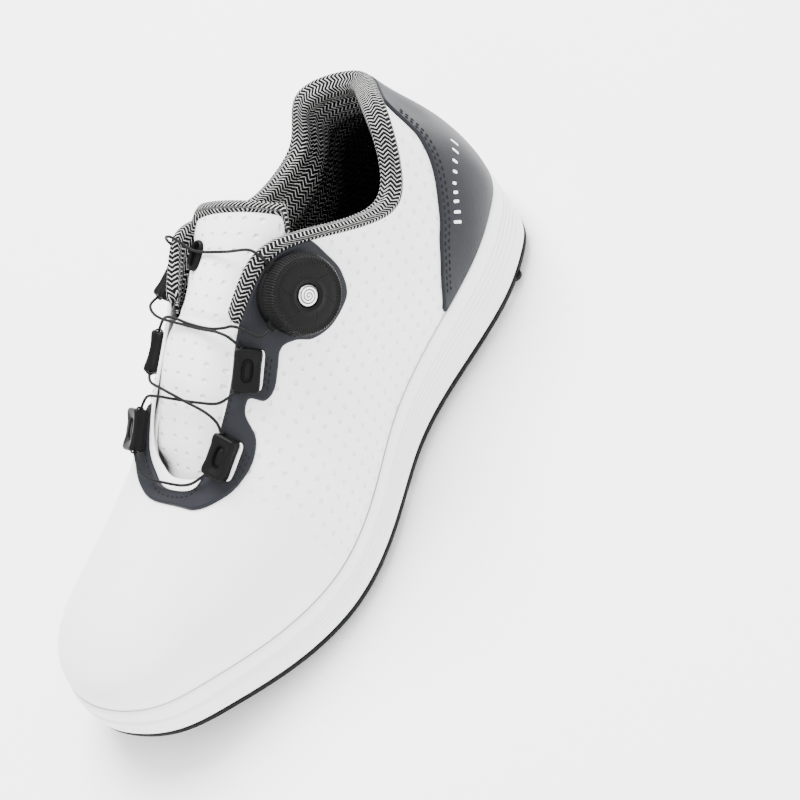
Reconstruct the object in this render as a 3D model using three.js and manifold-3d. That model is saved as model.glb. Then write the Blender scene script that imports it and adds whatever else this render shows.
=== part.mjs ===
// Left golf shoe with a dial lacing system, size EU 42 (foot about 265 mm).
// Millimetres. The shoe is laid out with x = 0 at the back of the heel, x = 298 at the toe,
// +Y on the lateral (outer) side, +Z up and z = 0 on the ground; the last lines move the whole
// group so that the origin is at the centre of the base of its bounding box.
import * as THREE from "three";
import { mergeVertices } from "three/addons/utils/BufferGeometryUtils.js";
import Module from "manifold-3d";

const wasm = await Module();
wasm.setup();

// ---------------------------------------------------------------- driving dimensions
const SOLE_LENGTH = 298;
const GAP = 0.3; // clearance kept between neighbouring solids
const FEATHER_INSET = 2.8; // upper stands this far inside the midsole's bottom edge
const CUP_LEAN = 3.2; // the upper leans in by this much below the feather line
const MIDSOLE_BASE = 7; // height of the midsole's underside
const TOE_SPRING = 14;
const TOE_SPRING_START = 205;
const HEEL_SPRING = 2.5;
const HEEL_SPRING_START = 25;
const FEATHER_LOW = 24.3; // lowest feather line, under the ball of the foot
const FEATHER_LOW_X = 195;
const FEATHER_HEEL_RISE = 15.2;
const FEATHER_TOE_RISE = 13.2;
const CUP_DEPTH_TOE = 8;
const CUP_DEPTH_HEEL = 11;
const UPPER_THICKNESS = 1.4;
const OVERLAY_GAP = 0.5;
const OVERLAY_THICKNESS = 1.1;
const STIFFENER_OUT = 1.85; // toe puff and heel counter: outer and inner depth below the upper's face
const STIFFENER_IN = 2.75;
const LINING_OUT = 3.15;
const LINING_THICKNESS = 1.0;
const COLLAR_PADDING = 3.6; // extra depth of the lining behind the collar foam
const OUTSOLE_THICKNESS = 2.6;
const LACE_DIAMETER = 1.2;
const SECTIONS_PER_RIB = 2;

// Ribs of the upper, toe -> lateral -> heel -> medial, evenly spaced in the parameter u.
// bx, by: the midsole's bottom edge. tx, ty, tz: the upper's top edge. bulge, rise: handle of the
// curve at the feather line. spread, drop: handle of the curve at the top edge.
const RIBS = [
  [298.0, -11.5, 206.0, -1.0, 73.0, 3, 24, 46, 11],
  [289.5, 17.0, 204.5, 6.5, 73.8, 4, 24, 44, 10],
  [268.0, 33.0, 201.5, 10.5, 75.5, 5, 26, 38, 9],
  [240.0, 47.5, 196.0, 13.5, 79.0, 4, 24, 29, 10],
  [208.0, 56.3, 186.0, 16.2, 87.5, 4, 25, 24, 12],
  [178.0, 54.0, 171.0, 18.0, 98.5, 5, 30, 20, 15],
  [152.0, 46.8, 157.5, 19.5, 111.0, 5, 32, 13, 18],
  [131.0, 41.6, 142.0, 22.5, 121.0, 6, 32, 11, 20],
  [110.0, 40.1, 124.5, 27.5, 125.0, 6, 32, 9, 24],
  [90.0, 40.8, 103.0, 33.0, 111.0, 6, 28, 6, 22],
  [72.0, 41.5, 82.0, 34.5, 94.5, 6, 22, 4, 18],
  [52.0, 40.5, 64.0, 32.5, 92.0, 6, 20, 4, 18],
  [32.0, 35.5, 47.0, 25.5, 109.5, 6, 24, 6, 26],
  [14.0, 22.5, 33.0, 10.0, 110.0, 2, 24, 7, 26],
  [0.5, -11.0, 23.0, -7.0, 105.0, 1, 24, 7, 26],
  [12.0, -31.5, 30.5, -22.5, 106.5, 2, 24, 7, 26],
  [30.0, -38.9, 42.0, -32.0, 103.0, 5, 24, 6, 24],
  [50.0, -38.4, 53.0, -35.0, 88.5, 5, 20, 4, 18],
  [72.0, -34.5, 72.0, -35.0, 86.0, 6, 20, 4, 18],
  [92.0, -30.2, 92.0, -33.5, 93.5, 8, 24, 6, 22],
  [112.0, -28.6, 112.0, -31.0, 110.0, 9, 30, 8, 26],
  [132.0, -30.0, 130.0, -28.5, 118.5, 8, 32, 10, 28],
  [153.0, -34.8, 150.0, -24.5, 109.0, 7, 32, 14, 24],
  [178.0, -43.2, 171.0, -21.5, 98.0, 5, 26, 15, 18],
  [207.0, -49.2, 188.0, -19.5, 88.5, 3, 22, 17, 13],
  [238.0, -51.4, 199.0, -16.5, 79.5, 3, 21, 24, 11],
  [264.0, -48.2, 204.0, -11.0, 75.0, 4, 22, 33, 10],
  [286.0, -37.0, 206.0, -6.5, 73.3, 4, 24, 44, 10],
];
const RIB_COUNT = RIBS.length;

// ---------------------------------------------------------------- small helpers
const point = (x, y, z) => new THREE.Vector3(x, y, z);
const clamp01 = (value) => Math.min(Math.max(value, 0), 1);
const smooth = (value, low, high) => {
  const t = clamp01((value - low) / (high - low));
  return t * t * (3 - 2 * t);
};
const mix = (a, b, t) => a + (b - a) * t;
const spread = (count, low, high) =>
  Array.from({ length: count }, (_, i) => mix(low, high, i / (count - 1)));

// Reads a curve given as [place, value] pairs, straight between them.
function along(pairs, place) {
  if (place <= pairs[0][0]) return pairs[0][1];
  for (let i = 1; i < pairs.length; i += 1) {
    const [p0, v0] = pairs[i - 1];
    const [p1, v1] = pairs[i];
    if (place <= p1) return mix(v0, v1, (place - p0) / (p1 - p0));
  }
  return pairs[pairs.length - 1][1];
}

function geometryOf(vertices, triangles) {
  const geometry = new THREE.BufferGeometry();
  geometry.setAttribute("position", new THREE.Float32BufferAttribute(vertices, 3));
  geometry.setIndex(triangles);
  return geometry;
}

// A closed solid through rings of points. An open loft is capped at both ends with strips that join
// point j to point count - 1 - j, so rings are listed symmetrically about their middle.
function loft(rings, closed = false) {
  const count = rings[0].length;
  const triangles = [];
  const quad = (a, b, c, d) => triangles.push(a, b, c, a, c, d);
  const last = closed ? rings.length : rings.length - 1;
  for (let i = 0; i < last; i += 1) {
    const next = (i + 1) % rings.length;
    for (let j = 0; j < count; j += 1) {
      const k = (j + 1) % count;
      quad(i * count + j, next * count + j, next * count + k, i * count + k);
    }
  }
  if (!closed) {
    const end = (rings.length - 1) * count;
    for (let j = 0; j < count / 2 - 1; j += 1) {
      quad(j, j + 1, count - 2 - j, count - 1 - j);
      quad(end + j, end + count - 1 - j, end + count - 2 - j, end + j + 1);
    }
  }
  const vertices = rings.flat().flatMap((p) => [p.x, p.y, p.z]);
  if (signedVolume(vertices, triangles) < 0) {
    for (let i = 0; i < triangles.length; i += 3) {
      [triangles[i + 1], triangles[i + 2]] = [triangles[i + 2], triangles[i + 1]];
    }
  }
  return geometryOf(vertices, triangles);
}

function signedVolume(vertices, triangles) {
  const corner = (i) => new THREE.Vector3().fromArray(vertices, triangles[i] * 3);
  let volume = 0;
  for (let i = 0; i < triangles.length; i += 3) {
    volume += corner(i).dot(corner(i + 1).cross(corner(i + 2)));
  }
  return volume / 6;
}

function toSolid(source) {
  const bare = source.clone();
  bare.deleteAttribute("normal");
  bare.deleteAttribute("uv");
  const merged = mergeVertices(bare, 1e-3);
  return new wasm.Manifold(
    new wasm.Mesh({
      numProp: 3,
      vertProperties: new Float32Array(merged.attributes.position.array),
      triVerts: new Uint32Array(merged.index.array),
    }),
  );
}

function fromSolid(solid) {
  const mesh = solid.getMesh();
  return geometryOf(Array.from(mesh.vertProperties), Array.from(mesh.triVerts));
}

// A round tube of eight sides along a smooth curve through the points.
function roundTube(points, diameter, steps) {
  const section = new THREE.Shape().absarc(0, 0, diameter / 2, 0, Math.PI * 2);
  const path = new THREE.CatmullRomCurve3(points, false, "centripetal");
  return new THREE.ExtrudeGeometry(section, { extrudePath: path, steps, curveSegments: 4 });
}

const joined = (...parts) => fromSolid(parts.map(toSolid).reduce((a, b) => a.add(b)));
const cut = (body, ...tools) =>
  fromSolid(tools.map(toSolid).reduce((a, b) => a.subtract(b), toSolid(body)));

const root = new THREE.Group();

function add(name, geometry, look, parent = root) {
  const material = new THREE.MeshStandardMaterial(look);
  const mesh = new THREE.Mesh(geometry, material);
  mesh.name = name;
  parent.add(mesh);
  return mesh;
}

// ---------------------------------------------------------------- finishes
const WHITE_UPPER = { color: 0xe8e8ea, roughness: 0.55, metalness: 0 };
const GREY_OVERLAY = { color: 0x4b4e58, roughness: 0.6, metalness: 0 };
const WHITE_FOAM = { color: 0xececee, roughness: 0.7, metalness: 0 };
const WHITE_PLASTIC = { color: 0xf1f1f3, roughness: 0.4, metalness: 0 };
const BLACK_RUBBER = { color: 0x151516, roughness: 0.75, metalness: 0 };
const BLACK_PLASTIC = { color: 0x1b1b1e, roughness: 0.35, metalness: 0 };
const KNIT = { color: 0x6c6c6c, roughness: 0.9, metalness: 0 };
const LINING = { color: 0x2a2a2c, roughness: 0.9, metalness: 0 };
const BOARD = { color: 0xb9a98a, roughness: 0.9, metalness: 0 };
const STEEL = { color: 0xb7b9bd, roughness: 0.3, metalness: 1 };

// ---------------------------------------------------------------- the shoe's surfaces
// Slopes of a closed smooth spline through the ribs, settled by repeated averaging.
function ribSlopes() {
  let slopes = RIBS.map((rib) => rib.map(() => 0));
  for (let round = 0; round < 60; round += 1) {
    slopes = slopes.map((slope, i) => {
      const before = (i + RIB_COUNT - 1) % RIB_COUNT;
      const after = (i + 1) % RIB_COUNT;
      return slope.map(
        (_, c) => (3 * (RIBS[after][c] - RIBS[before][c]) - slopes[before][c] - slopes[after][c]) / 4,
      );
    });
  }
  return slopes;
}
const SLOPES = ribSlopes();

// The rib's nine numbers at any u from 0 to 1.
function ribAt(u) {
  const place = (u - Math.floor(u)) * RIB_COUNT;
  const i = Math.floor(place) % RIB_COUNT;
  const j = (i + 1) % RIB_COUNT;
  const t = place - Math.floor(place);
  return RIBS[i].map(
    (value, c) =>
      value * (2 * t ** 3 - 3 * t ** 2 + 1) +
      SLOPES[i][c] * (t ** 3 - 2 * t ** 2 + t) +
      RIBS[j][c] * (3 * t ** 2 - 2 * t ** 3) +
      SLOPES[j][c] * (t ** 3 - t ** 2),
  );
}

const springAt = (x) =>
  TOE_SPRING * clamp01((x - TOE_SPRING_START) / (SOLE_LENGTH - TOE_SPRING_START)) ** 2 +
  HEEL_SPRING * clamp01((HEEL_SPRING_START - x) / HEEL_SPRING_START) ** 2;
const midsoleBase = (x) => MIDSOLE_BASE + springAt(x);

function featherHeight(x) {
  if (x < FEATHER_LOW_X) {
    return FEATHER_LOW + (FEATHER_HEEL_RISE / 2) * (1 + Math.cos((Math.PI * (x + 1)) / (FEATHER_LOW_X + 1)));
  }
  return FEATHER_LOW + FEATHER_TOE_RISE * ((x - FEATHER_LOW_X) / (SOLE_LENGTH + 1 - FEATHER_LOW_X)) ** 2;
}
const cupDepth = (x) => mix(CUP_DEPTH_HEEL, CUP_DEPTH_TOE, smooth(x, 60, 190));
const footbed = (x) => featherHeight(x) - cupDepth(x);

// The sole's edge at u, and the level direction that points out of it.
function soleEdge(u) {
  const rib = ribAt(u);
  const ahead = ribAt(u + 1e-3);
  const behind = ribAt(u - 1e-3);
  const out = point(behind[1] - ahead[1], ahead[0] - behind[0], 0).normalize();
  return { edge: point(rib[0], rib[1], 0), out, rib };
}
const OUT_SIGN = Math.sign(soleEdge(0).out.x);

// A point of the sole's outline, moved in by inset, at the height given by heightAt(x).
function soleOutline(u, inset, heightAt) {
  const { edge, out } = soleEdge(u);
  const moved = edge.addScaledVector(out, -inset * OUT_SIGN);
  return point(moved.x, moved.y, heightAt(moved.x));
}

// The outer face of the upper. h runs from 0 at the feather line to 1 at the top edge; from 0 down
// to -1 the upper goes down inside the midsole's cup.
function upperFace(u, h) {
  const { edge, out, rib } = soleEdge(u);
  const outward = out.clone().multiplyScalar(OUT_SIGN);
  const [, , tx, ty, tz, bulge, rise, reach, drop] = rib;
  const foot = edge.addScaledVector(outward, -FEATHER_INSET);
  foot.z = featherHeight(foot.x);
  if (h < 0) {
    return foot.addScaledVector(outward, CUP_LEAN * h).add(point(0, 0, h * (cupDepth(foot.x) - 2)));
  }
  const top = point(tx, ty, tz);
  const away = point(foot.x - tx, foot.y - ty, 0).normalize();
  const low = foot.clone().addScaledVector(outward, bulge).add(point(0, 0, rise));
  const high = top.clone().addScaledVector(away, reach).add(point(0, 0, -drop));
  return new THREE.CubicBezierCurve3(foot, low, high, top).getPoint(h);
}

// Outward direction of any surface face(a, b), by small steps along both parameters.
function normalOf(face, a, b, low = 0, high = 1) {
  const step = 2e-3;
  const alongA = face(a + step, b).sub(face(a - step, b));
  const b1 = Math.min(b + step, high);
  const b0 = Math.max(b - step, low);
  const alongB = face(a, b1).sub(face(a, b0));
  return alongA.cross(alongB).normalize();
}
const UPPER_SIGN = Math.sign(normalOf(upperFace, 0.25, 0.3, -1).y);
const upperNormal = (u, h) => normalOf(upperFace, u, h, -1).multiplyScalar(UPPER_SIGN);
const upperAt = (u, h, depth) => upperFace(u, h).addScaledVector(upperNormal(u, h), -depth);

// A layer of the upper between two depths. Each section lists the outer face going up and the inner
// face coming down. hRange gives the layer's height range at that u.
function upperLayer({ us, hs, outer, inner, closed = false, hRange = () => [0, 1] }) {
  const rings = us.map((u) => {
    const [low, high] = hRange(u);
    const heights = hs.map((s) => mix(low, high, s));
    const outside = heights.map((h) => upperAt(u, h, outer(u, h)));
    const inside = heights.map((h) => upperAt(u, h, inner(u, h)));
    return [...outside, ...inside.reverse()];
  });
  return loft(rings, closed);
}
const SECTIONS = RIB_COUNT * SECTIONS_PER_RIB;
const ringUs = Array.from({ length: SECTIONS }, (_, i) => (i + 0.5) / SECTIONS);
const ribToU = (rib) => rib / RIB_COUNT;
const ribSpan = (from, to, perRib) =>
  spread(Math.round((to - from) * perRib) + 1, ribToU(from), ribToU(to));
// The upper's own sections between two rib numbers, so that layers nest facet by facet.
const upperSpan = (from, to) =>
  [...ringUs.map((u) => u - 1), ...ringUs].filter((u) => u > ribToU(from) && u < ribToU(to));

// ---------------------------------------------------------------- sole unit
// A solid stacked from outlines of the sole: each level is [inset, heightAt].
const soleStack = (levels) =>
  loft(levels.map(([inset, heightAt]) => ringUs.map((u) => soleOutline(u, inset, heightAt))));

const outsoleTop = (x) => midsoleBase(x) - GAP;
const outsoleFace = (x) => outsoleTop(x) - OUTSOLE_THICKNESS;

// A flat-bottomed pill that follows the sole's underside, lying along a direction.
function pill(centre, length, width, top, bottom, angle = 0) {
  const shape = new THREE.Shape();
  const half = (length - width) / 2;
  shape.absarc(half, 0, width / 2, -Math.PI / 2, Math.PI / 2);
  shape.absarc(-half, 0, width / 2, Math.PI / 2, (Math.PI * 3) / 2);
  const settings = { depth: top - bottom, bevelEnabled: false, curveSegments: 5 };
  const body = new THREE.ExtrudeGeometry(shape, settings);
  return body.rotateZ(angle).translate(centre[0], centre[1], bottom);
}

// The cleats: centre of each and the angle of its arms.
const CLEATS = {
  cleat_forefoot_medial: [226, -27.8, 45],
  cleat_forefoot_lateral: [231, 22, 45],
  cleat_midfoot_medial: [164, -14.5, 48],
  cleat_midfoot_lateral: [164, 33, 48],
  cleat_heel_lateral: [61, 25.6, 42],
  cleat_heel_medial: [54, -17.6, 42],
};
const CLEAT_ARM = 14.4;
const CLEAT_ARM_HALF_WIDTH = 3.9;
const CLEAT_WAIST = 5.4;
const CLEAT_PAD = 5;
const CLEAT_PLATE_BOTTOM = 1;

function cleatShape() {
  const shape = new THREE.Shape();
  const at = (angle, radius, side) => [
    Math.cos(angle) * radius - Math.sin(angle) * side,
    Math.sin(angle) * radius + Math.cos(angle) * side,
  ];
  for (let arm = 0; arm < 4; arm += 1) {
    const angle = (arm * Math.PI) / 2;
    if (arm === 0) shape.moveTo(...at(angle, CLEAT_ARM, -CLEAT_ARM_HALF_WIDTH));
    shape.lineTo(...at(angle, CLEAT_ARM, CLEAT_ARM_HALF_WIDTH));
    const corner = at(angle + Math.PI / 4, CLEAT_WAIST - 1.2, 0);
    shape.quadraticCurveTo(...corner, ...at(angle + Math.PI / 2, CLEAT_ARM, -CLEAT_ARM_HALF_WIDTH));
  }
  return shape;
}

function cleatGeometry(x, y, degrees) {
  const plateTop = outsoleFace(x - CLEAT_ARM) - GAP;
  const lift = springAt(x);
  const plate = new THREE.ExtrudeGeometry(cleatShape(), {
    depth: plateTop - lift - CLEAT_PLATE_BOTTOM,
    bevelEnabled: false,
    curveSegments: 4,
  }).translate(0, 0, CLEAT_PLATE_BOTTOM);
  const boss = new THREE.CylinderGeometry(4.2, 3.6, 1.6, 12).rotateX(-Math.PI / 2).translate(0, 0, 1.2);
  const pads = [0, 1, 2, 3].map((arm) =>
    new THREE.BoxGeometry(CLEAT_PAD, CLEAT_PAD, 2)
      .translate(CLEAT_ARM - CLEAT_PAD / 2 - 0.7, 0, 1)
      .rotateZ((arm * Math.PI) / 2),
  );
  const turned = joined(plate, boss, ...pads).rotateZ(THREE.MathUtils.degToRad(degrees));
  return turned.translate(x, y, lift);
}

// The S-shaped rib down the middle of the sole.
const RIB_ROUTE = [
  [283, 4], [272, -3], [257, -9], [237, -11], [216, -9], [190, -2], [164, 5.5],
  [138, 11], [112, 12.7], [88, 10.8], [68, 5.8], [55, 1.5], [47.5, -1.3],
];
const RIB_HALF_WIDTH = 3.7;
const RIB_DEPTH = 2.4;

function soleRib() {
  const route = new THREE.CatmullRomCurve3(RIB_ROUTE.map(([x, y]) => point(x, y, 0)));
  const stations = 30;
  const rings = spread(stations, 0, 1).map((t, i) => {
    const centre = route.getPointAt(t);
    const tangent = route.getTangentAt(t);
    const side = point(-tangent.y, tangent.x, 0);
    const atEnd = i === 0 || i === stations - 1;
    const half = RIB_HALF_WIDTH * (atEnd ? 0.6 : 1);
    const top = outsoleFace(centre.x) - 1.6 * GAP;
    return [
      [-half, 0], [-half, 1.4], [-half + 1, RIB_DEPTH], [half - 1, RIB_DEPTH], [half, 1.4], [half, 0],
    ].map(
      ([across, down]) => centre.clone().addScaledVector(side, across).setZ(top - down),
    );
  });
  return loft(rings);
}

// Hexagonal traction lugs on a honeycomb, left out where a cleat, the rib, the window or a bar is.
const LUG_PITCH = 12.4;
const LUG_FOOT_RADIUS = 4.6;
const LUG_TIP_RADIUS = 3.4;
const LUG_HEIGHT = 3.2;
const LUG_EDGE_MARGIN = 4.6;
const WINDOW = { centre: [116.7, -10.4], length: 36.5, width: 10.4 };
const EDGE_BARS = [
  [[266, 22], 20, 6.4, 125],
  [[252, -41], 20, 6.4, 85],
  [[195, -38], 21, 6.4, 96],
  [[34, -31], 14, 6.4, 50],
  [[44, 34], 11, 6.4, 105],
];

function insideSole(x, y, margin) {
  let nearest = Infinity;
  let inside = false;
  const outline = ringUs.map((u) => soleEdge(u).edge);
  outline.forEach((a, i) => {
    const b = outline[(i + 1) % outline.length];
    if (a.y > y !== b.y > y && x < ((b.x - a.x) * (y - a.y)) / (b.y - a.y) + a.x) inside = !inside;
    nearest = Math.min(nearest, Math.hypot(a.x - x, a.y - y));
  });
  return inside && nearest > margin;
}

function lugCentres() {
  const route = new THREE.CatmullRomCurve3(RIB_ROUTE.map(([x, y]) => point(x, y, 0))).getSpacedPoints(60);
  const taken = [
    ...Object.values(CLEATS).map(([x, y]) => [x, y, CLEAT_ARM + LUG_FOOT_RADIUS]),
    ...route.map((p) => [p.x, p.y, RIB_HALF_WIDTH + LUG_FOOT_RADIUS + 0.8]),
    ...spread(5, -13, 13).map((d) => [WINDOW.centre[0] + d, WINDOW.centre[1], 11]),
    ...EDGE_BARS.map(([[x, y]]) => [x, y, 12]),
  ];
  const centres = [];
  const rowStep = LUG_PITCH * Math.sin(Math.PI / 3);
  for (let row = 0; row * rowStep < SOLE_LENGTH; row += 1) {
    for (let column = -5; column <= 5; column += 1) {
      const x = 8 + row * rowStep;
      const y = (column + (row % 2) / 2) * LUG_PITCH;
      const free = taken.every(([cx, cy, radius]) => Math.hypot(x - cx, y - cy) > radius);
      if (free && insideSole(x, y, LUG_EDGE_MARGIN + 2)) centres.push([x, y]);
    }
  }
  return centres;
}

function outsole() {
  const slab = soleStack([
    [0.9, outsoleTop],
    [0.5, (x) => outsoleTop(x) - 0.8],
    [0.7, outsoleFace],
  ]);
  const lugs = lugCentres().map(([x, y]) =>
    new THREE.CylinderGeometry(LUG_FOOT_RADIUS, LUG_TIP_RADIUS, LUG_HEIGHT + 0.8, 6, 1)
      .rotateX(Math.PI / 2)
      .translate(x, y, outsoleFace(x) - LUG_HEIGHT / 2 + 0.4),
  );
  const bars = EDGE_BARS.map(([centre, length, width, degrees]) =>
    pill(
      centre, length, width, outsoleFace(centre[0]) + 1, outsoleFace(centre[0]) - 1.2,
      THREE.MathUtils.degToRad(degrees),
    ),
  );
  const opening = pill(WINDOW.centre, WINDOW.length + 2 * GAP, WINDOW.width + 2 * GAP, 12, 0);
  return cut(joined(slab, ...lugs, ...bars), opening);
}

const shankSpan = spread(9, 72, 172);
const shankBar = (half, up, down) =>
  loft(
    shankSpan.map((x) => {
      const reach = x === shankSpan[0] ? -up : x === shankSpan.at(-1) ? up : 0;
      return [[-half, up], [-half, -down], [half, -down], [half, up]].map(([y, z]) =>
        point(x + reach, y + 3, footbed(x) - 1 + z),
      );
    }),
  );

function midsole() {
  const body = soleStack([
    [1.2, midsoleBase],
    [0.2, (x) => midsoleBase(x) + 1.2],
    [0.0, (x) => mix(midsoleBase(x), featherHeight(x), 0.35)],
    [0.7, (x) => mix(midsoleBase(x), featherHeight(x), 0.75)],
    [1.5, (x) => featherHeight(x) - 0.8],
    [2.4, (x) => featherHeight(x) - 0.1],
    [FEATHER_INSET + CUP_LEAN - 0.4, (x) => footbed(x) + 2],
    [FEATHER_INSET + CUP_LEAN + 0.4, footbed],
  ]);
  return cut(body, shankBar(12.4, 1.8, 0.8));
}

add("outsole", outsole(), BLACK_RUBBER);
for (const [name, [x, y, degrees]] of Object.entries(CLEATS)) {
  add(name, cleatGeometry(x, y, degrees), WHITE_PLASTIC);
}
add("sole_rib", soleRib(), WHITE_PLASTIC);
add(
  "arch_window",
  pill(
    WINDOW.centre, WINDOW.length, WINDOW.width, outsoleTop(WINDOW.centre[0]), outsoleFace(WINDOW.centre[0]) + 0.4,
  ),
  WHITE_PLASTIC,
);
add("midsole", midsole(), WHITE_FOAM);
add("shank_plate", shankBar(12, 0.4, 0.5), STEEL);
add(
  "strobel_board",
  soleStack([[7.2, (x) => footbed(x) + GAP], [7.2, (x) => footbed(x) + 1.3]]),
  BOARD,
);
add(
  "insole",
  soleStack([
    [12, (x) => footbed(x) + 1.7],
    [11.6, (x) => footbed(x) + 4.8],
    [13.5, (x) => footbed(x) + 5.5],
  ]),
  LINING,
);

// ---------------------------------------------------------------- upper and its inner layers
const UPPER_HEIGHTS = [-1, 0, 0.2, 0.4, 0.58, 0.74, 0.88, 1];
const COLLAR_FROM = 6.25; // rib numbers where the collar binding and its lining start and end
const COLLAR_TO = 22;

add(
  "upper_shell",
  upperLayer({
    us: ringUs,
    hs: UPPER_HEIGHTS,
    outer: () => 0,
    inner: () => UPPER_THICKNESS,
    closed: true,
  }),
  WHITE_UPPER,
);

const stiffener = (from, to, levels) =>
  upperLayer({
    us: upperSpan(from, to),
    hs: UPPER_HEIGHTS.slice(1, levels),
    outer: () => STIFFENER_OUT,
    inner: () => STIFFENER_IN,
  });
add("toe_puff", stiffener(-4.6, 4.6, 4), BOARD);
add("heel_counter", stiffener(9.8, 18.2, 5), BOARD);

// Depth of the collar lining's outer face: it stands off the upper where the collar is padded.
function liningDepth(u, h) {
  const rib = u * RIB_COUNT;
  const padded = smooth(rib, 8.2, 10.2) * (1 - smooth(rib, 18, 20.4)) * smooth(h, 0.58, 0.74);
  return LINING_OUT + COLLAR_PADDING * padded;
}
const LINING_HEIGHTS = [-1, 0, 0.2, 0.4, 0.58, 0.74, 0.88, 0.97];
add(
  "vamp_lining",
  upperLayer({
    us: upperSpan(COLLAR_TO - RIB_COUNT, COLLAR_FROM),
    hs: LINING_HEIGHTS,
    outer: () => LINING_OUT,
    inner: () => LINING_OUT + LINING_THICKNESS,
  }),
  WHITE_FOAM,
);
add(
  "collar_lining",
  upperLayer({
    us: upperSpan(COLLAR_FROM, COLLAR_TO),
    hs: LINING_HEIGHTS,
    outer: liningDepth,
    inner: (u, h) => liningDepth(u, h) + LINING_THICKNESS,
  }),
  KNIT,
);
add(
  "collar_foam",
  upperLayer({
    us: upperSpan(9.4, 18.6),
    hs: LINING_HEIGHTS.slice(5),
    outer: () => UPPER_THICKNESS + GAP,
    inner: (u, h) => liningDepth(u, h) - GAP,
  }),
  WHITE_FOAM,
);

// Rolled knit binding along the collar's edge: a rounded section above the upper's top edge.
function collarBinding() {
  const rings = ribSpan(COLLAR_FROM, COLLAR_TO, 3).map((u) => {
    const edge = upperFace(u, 1);
    const out = upperNormal(u, 1);
    const up = upperFace(u, 1).sub(upperFace(u, 0.97)).normalize();
    const depth = liningDepth(u, 1) + LINING_THICKNESS;
    return [
      [0.4, 0.9], [0.7, 1.8], [0.0, 3.0], [-0.3 * depth, 4.0],
      [-0.7 * depth, 3.9], [-depth, 2.6], [-depth - 0.3, 1.5], [-depth, 0.9],
    ].map(([across, height]) => edge.clone().addScaledVector(out, across).addScaledVector(up, height));
  });
  return loft(rings);
}
add("collar_binding", collarBinding(), KNIT);

// ---------------------------------------------------------------- overlays
const overlayDepths = { outer: () => -(OVERLAY_GAP + OVERLAY_THICKNESS), inner: () => -OVERLAY_GAP };

// Top edge of the heel overlay's swept front: [rib number on the lateral side, height h].
const HEEL_OVERLAY_EDGE = [
  [9.24, 0.03], [9.68, 0.22], [10.4, 0.46], [11.1, 0.6], [11.8, 0.68], [12.3, 0.78], [12.5, 0.985],
];
add(
  "heel_overlay",
  upperLayer({
    us: ribSpan(9.25, 18.75, 3),
    hs: spread(7, 0, 1),
    ...overlayDepths,
    hRange: (u) => [0.015, along(HEEL_OVERLAY_EDGE, Math.min(u, 1 - u) * RIB_COUNT)],
  }),
  GREY_OVERLAY,
);

// Lower edge of the eyestay: [rib number, height h]. It widens round the guides and the dial.
const EYESTAY_EDGE = [
  [-4.2, 0.93], [-3.9, 0.86], [-3.1, 0.82], [-2.1, 0.88], [-0.5, 0.92], [0.7, 0.91], [2.4, 0.87],
  [3.4, 0.8], [4.0, 0.76], [4.5, 0.77], [4.75, 0.86], [5.05, 0.86], [5.35, 0.78], [5.7, 0.76],
  [6.3, 0.76], [6.6, 0.7], [6.75, 0.62], [7.3, 0.54], [8.0, 0.57], [8.4, 0.7], [8.6, 0.86],
];
add(
  "eyestay_overlay",
  upperLayer({
    us: ribSpan(-4.2, 8.6, 4),
    hs: spread(4, 0, 1),
    ...overlayDepths,
    hRange: (u) => [along(EYESTAY_EDGE, u * RIB_COUNT), 0.985],
  }),
  GREY_OVERLAY,
);

// ---------------------------------------------------------------- lace guides
const GUIDE_LENGTH = 17;
const GUIDE_WIDTH = 11;
const GUIDE_END_HEIGHT = 4.8;
const GUIDE_MIDDLE_HEIGHT = 3.8;
const CHANNEL_DIAMETER = 2.4;
const CHANNEL_HEIGHT = 1.8;
// The channel curves away from the throat between its two mouths: [lengthwise, across].
const CHANNEL_ROUTE = [[-11, 5.4], [-8.5, 3.4], [-4.5, 0.4], [0, -0.8], [4.5, 0.4], [8.5, 3.4], [11, 5.4]];
// Rib number, height h and the depth of the surface below the guide.
const GUIDES = {
  guide_lateral_upper: [5.52, 0.9, -1.6],
  guide_lateral_lower: [3.7, 0.9, -1.6],
  guide_medial_upper: [21.3, 0.87, -0.6],
  guide_medial_middle: [22.68, 0.9, 0],
  guide_medial_lower: [24.22, 0.89, -1.6],
};

function guideGeometry() {
  const half = GUIDE_LENGTH / 2;
  const side = new THREE.Shape();
  side.moveTo(-half, 0);
  side.lineTo(half, 0);
  side.lineTo(half + 0.6, GUIDE_END_HEIGHT);
  side.quadraticCurveTo(0, 2 * GUIDE_MIDDLE_HEIGHT - GUIDE_END_HEIGHT, -half - 0.6, GUIDE_END_HEIGHT);
  side.lineTo(-half, 0);
  const body = new THREE.ExtrudeGeometry(side, { depth: GUIDE_WIDTH, bevelEnabled: false, curveSegments: 8 });
  body.rotateX(Math.PI / 2).translate(0, GUIDE_WIDTH / 2, 0);
  const route = CHANNEL_ROUTE.map(([x, y]) => point(x, y, CHANNEL_HEIGHT));
  const channel = roundTube(route, CHANNEL_DIAMETER, 14);
  return cut(body, channel);
}

const guideSeat = 0.7; // the flat foot stands this far off the curved upper
function guideFrame([rib, h, depth]) {
  const u = ribToU(rib);
  const origin = upperAt(u, h, depth - guideSeat);
  const up = upperNormal(u, h);
  const lengthwise = upperFace(u + 0.004, h).sub(upperFace(u - 0.004, h)).normalize();
  const across = up.clone().cross(lengthwise).normalize();
  return new THREE.Matrix4().makeBasis(lengthwise, across, up).setPosition(origin);
}
for (const [name, place] of Object.entries(GUIDES)) {
  const holder = new THREE.Group();
  holder.applyMatrix4(guideFrame(place));
  add(name, guideGeometry(), BLACK_PLASTIC, holder);
  root.add(holder);
}

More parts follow.
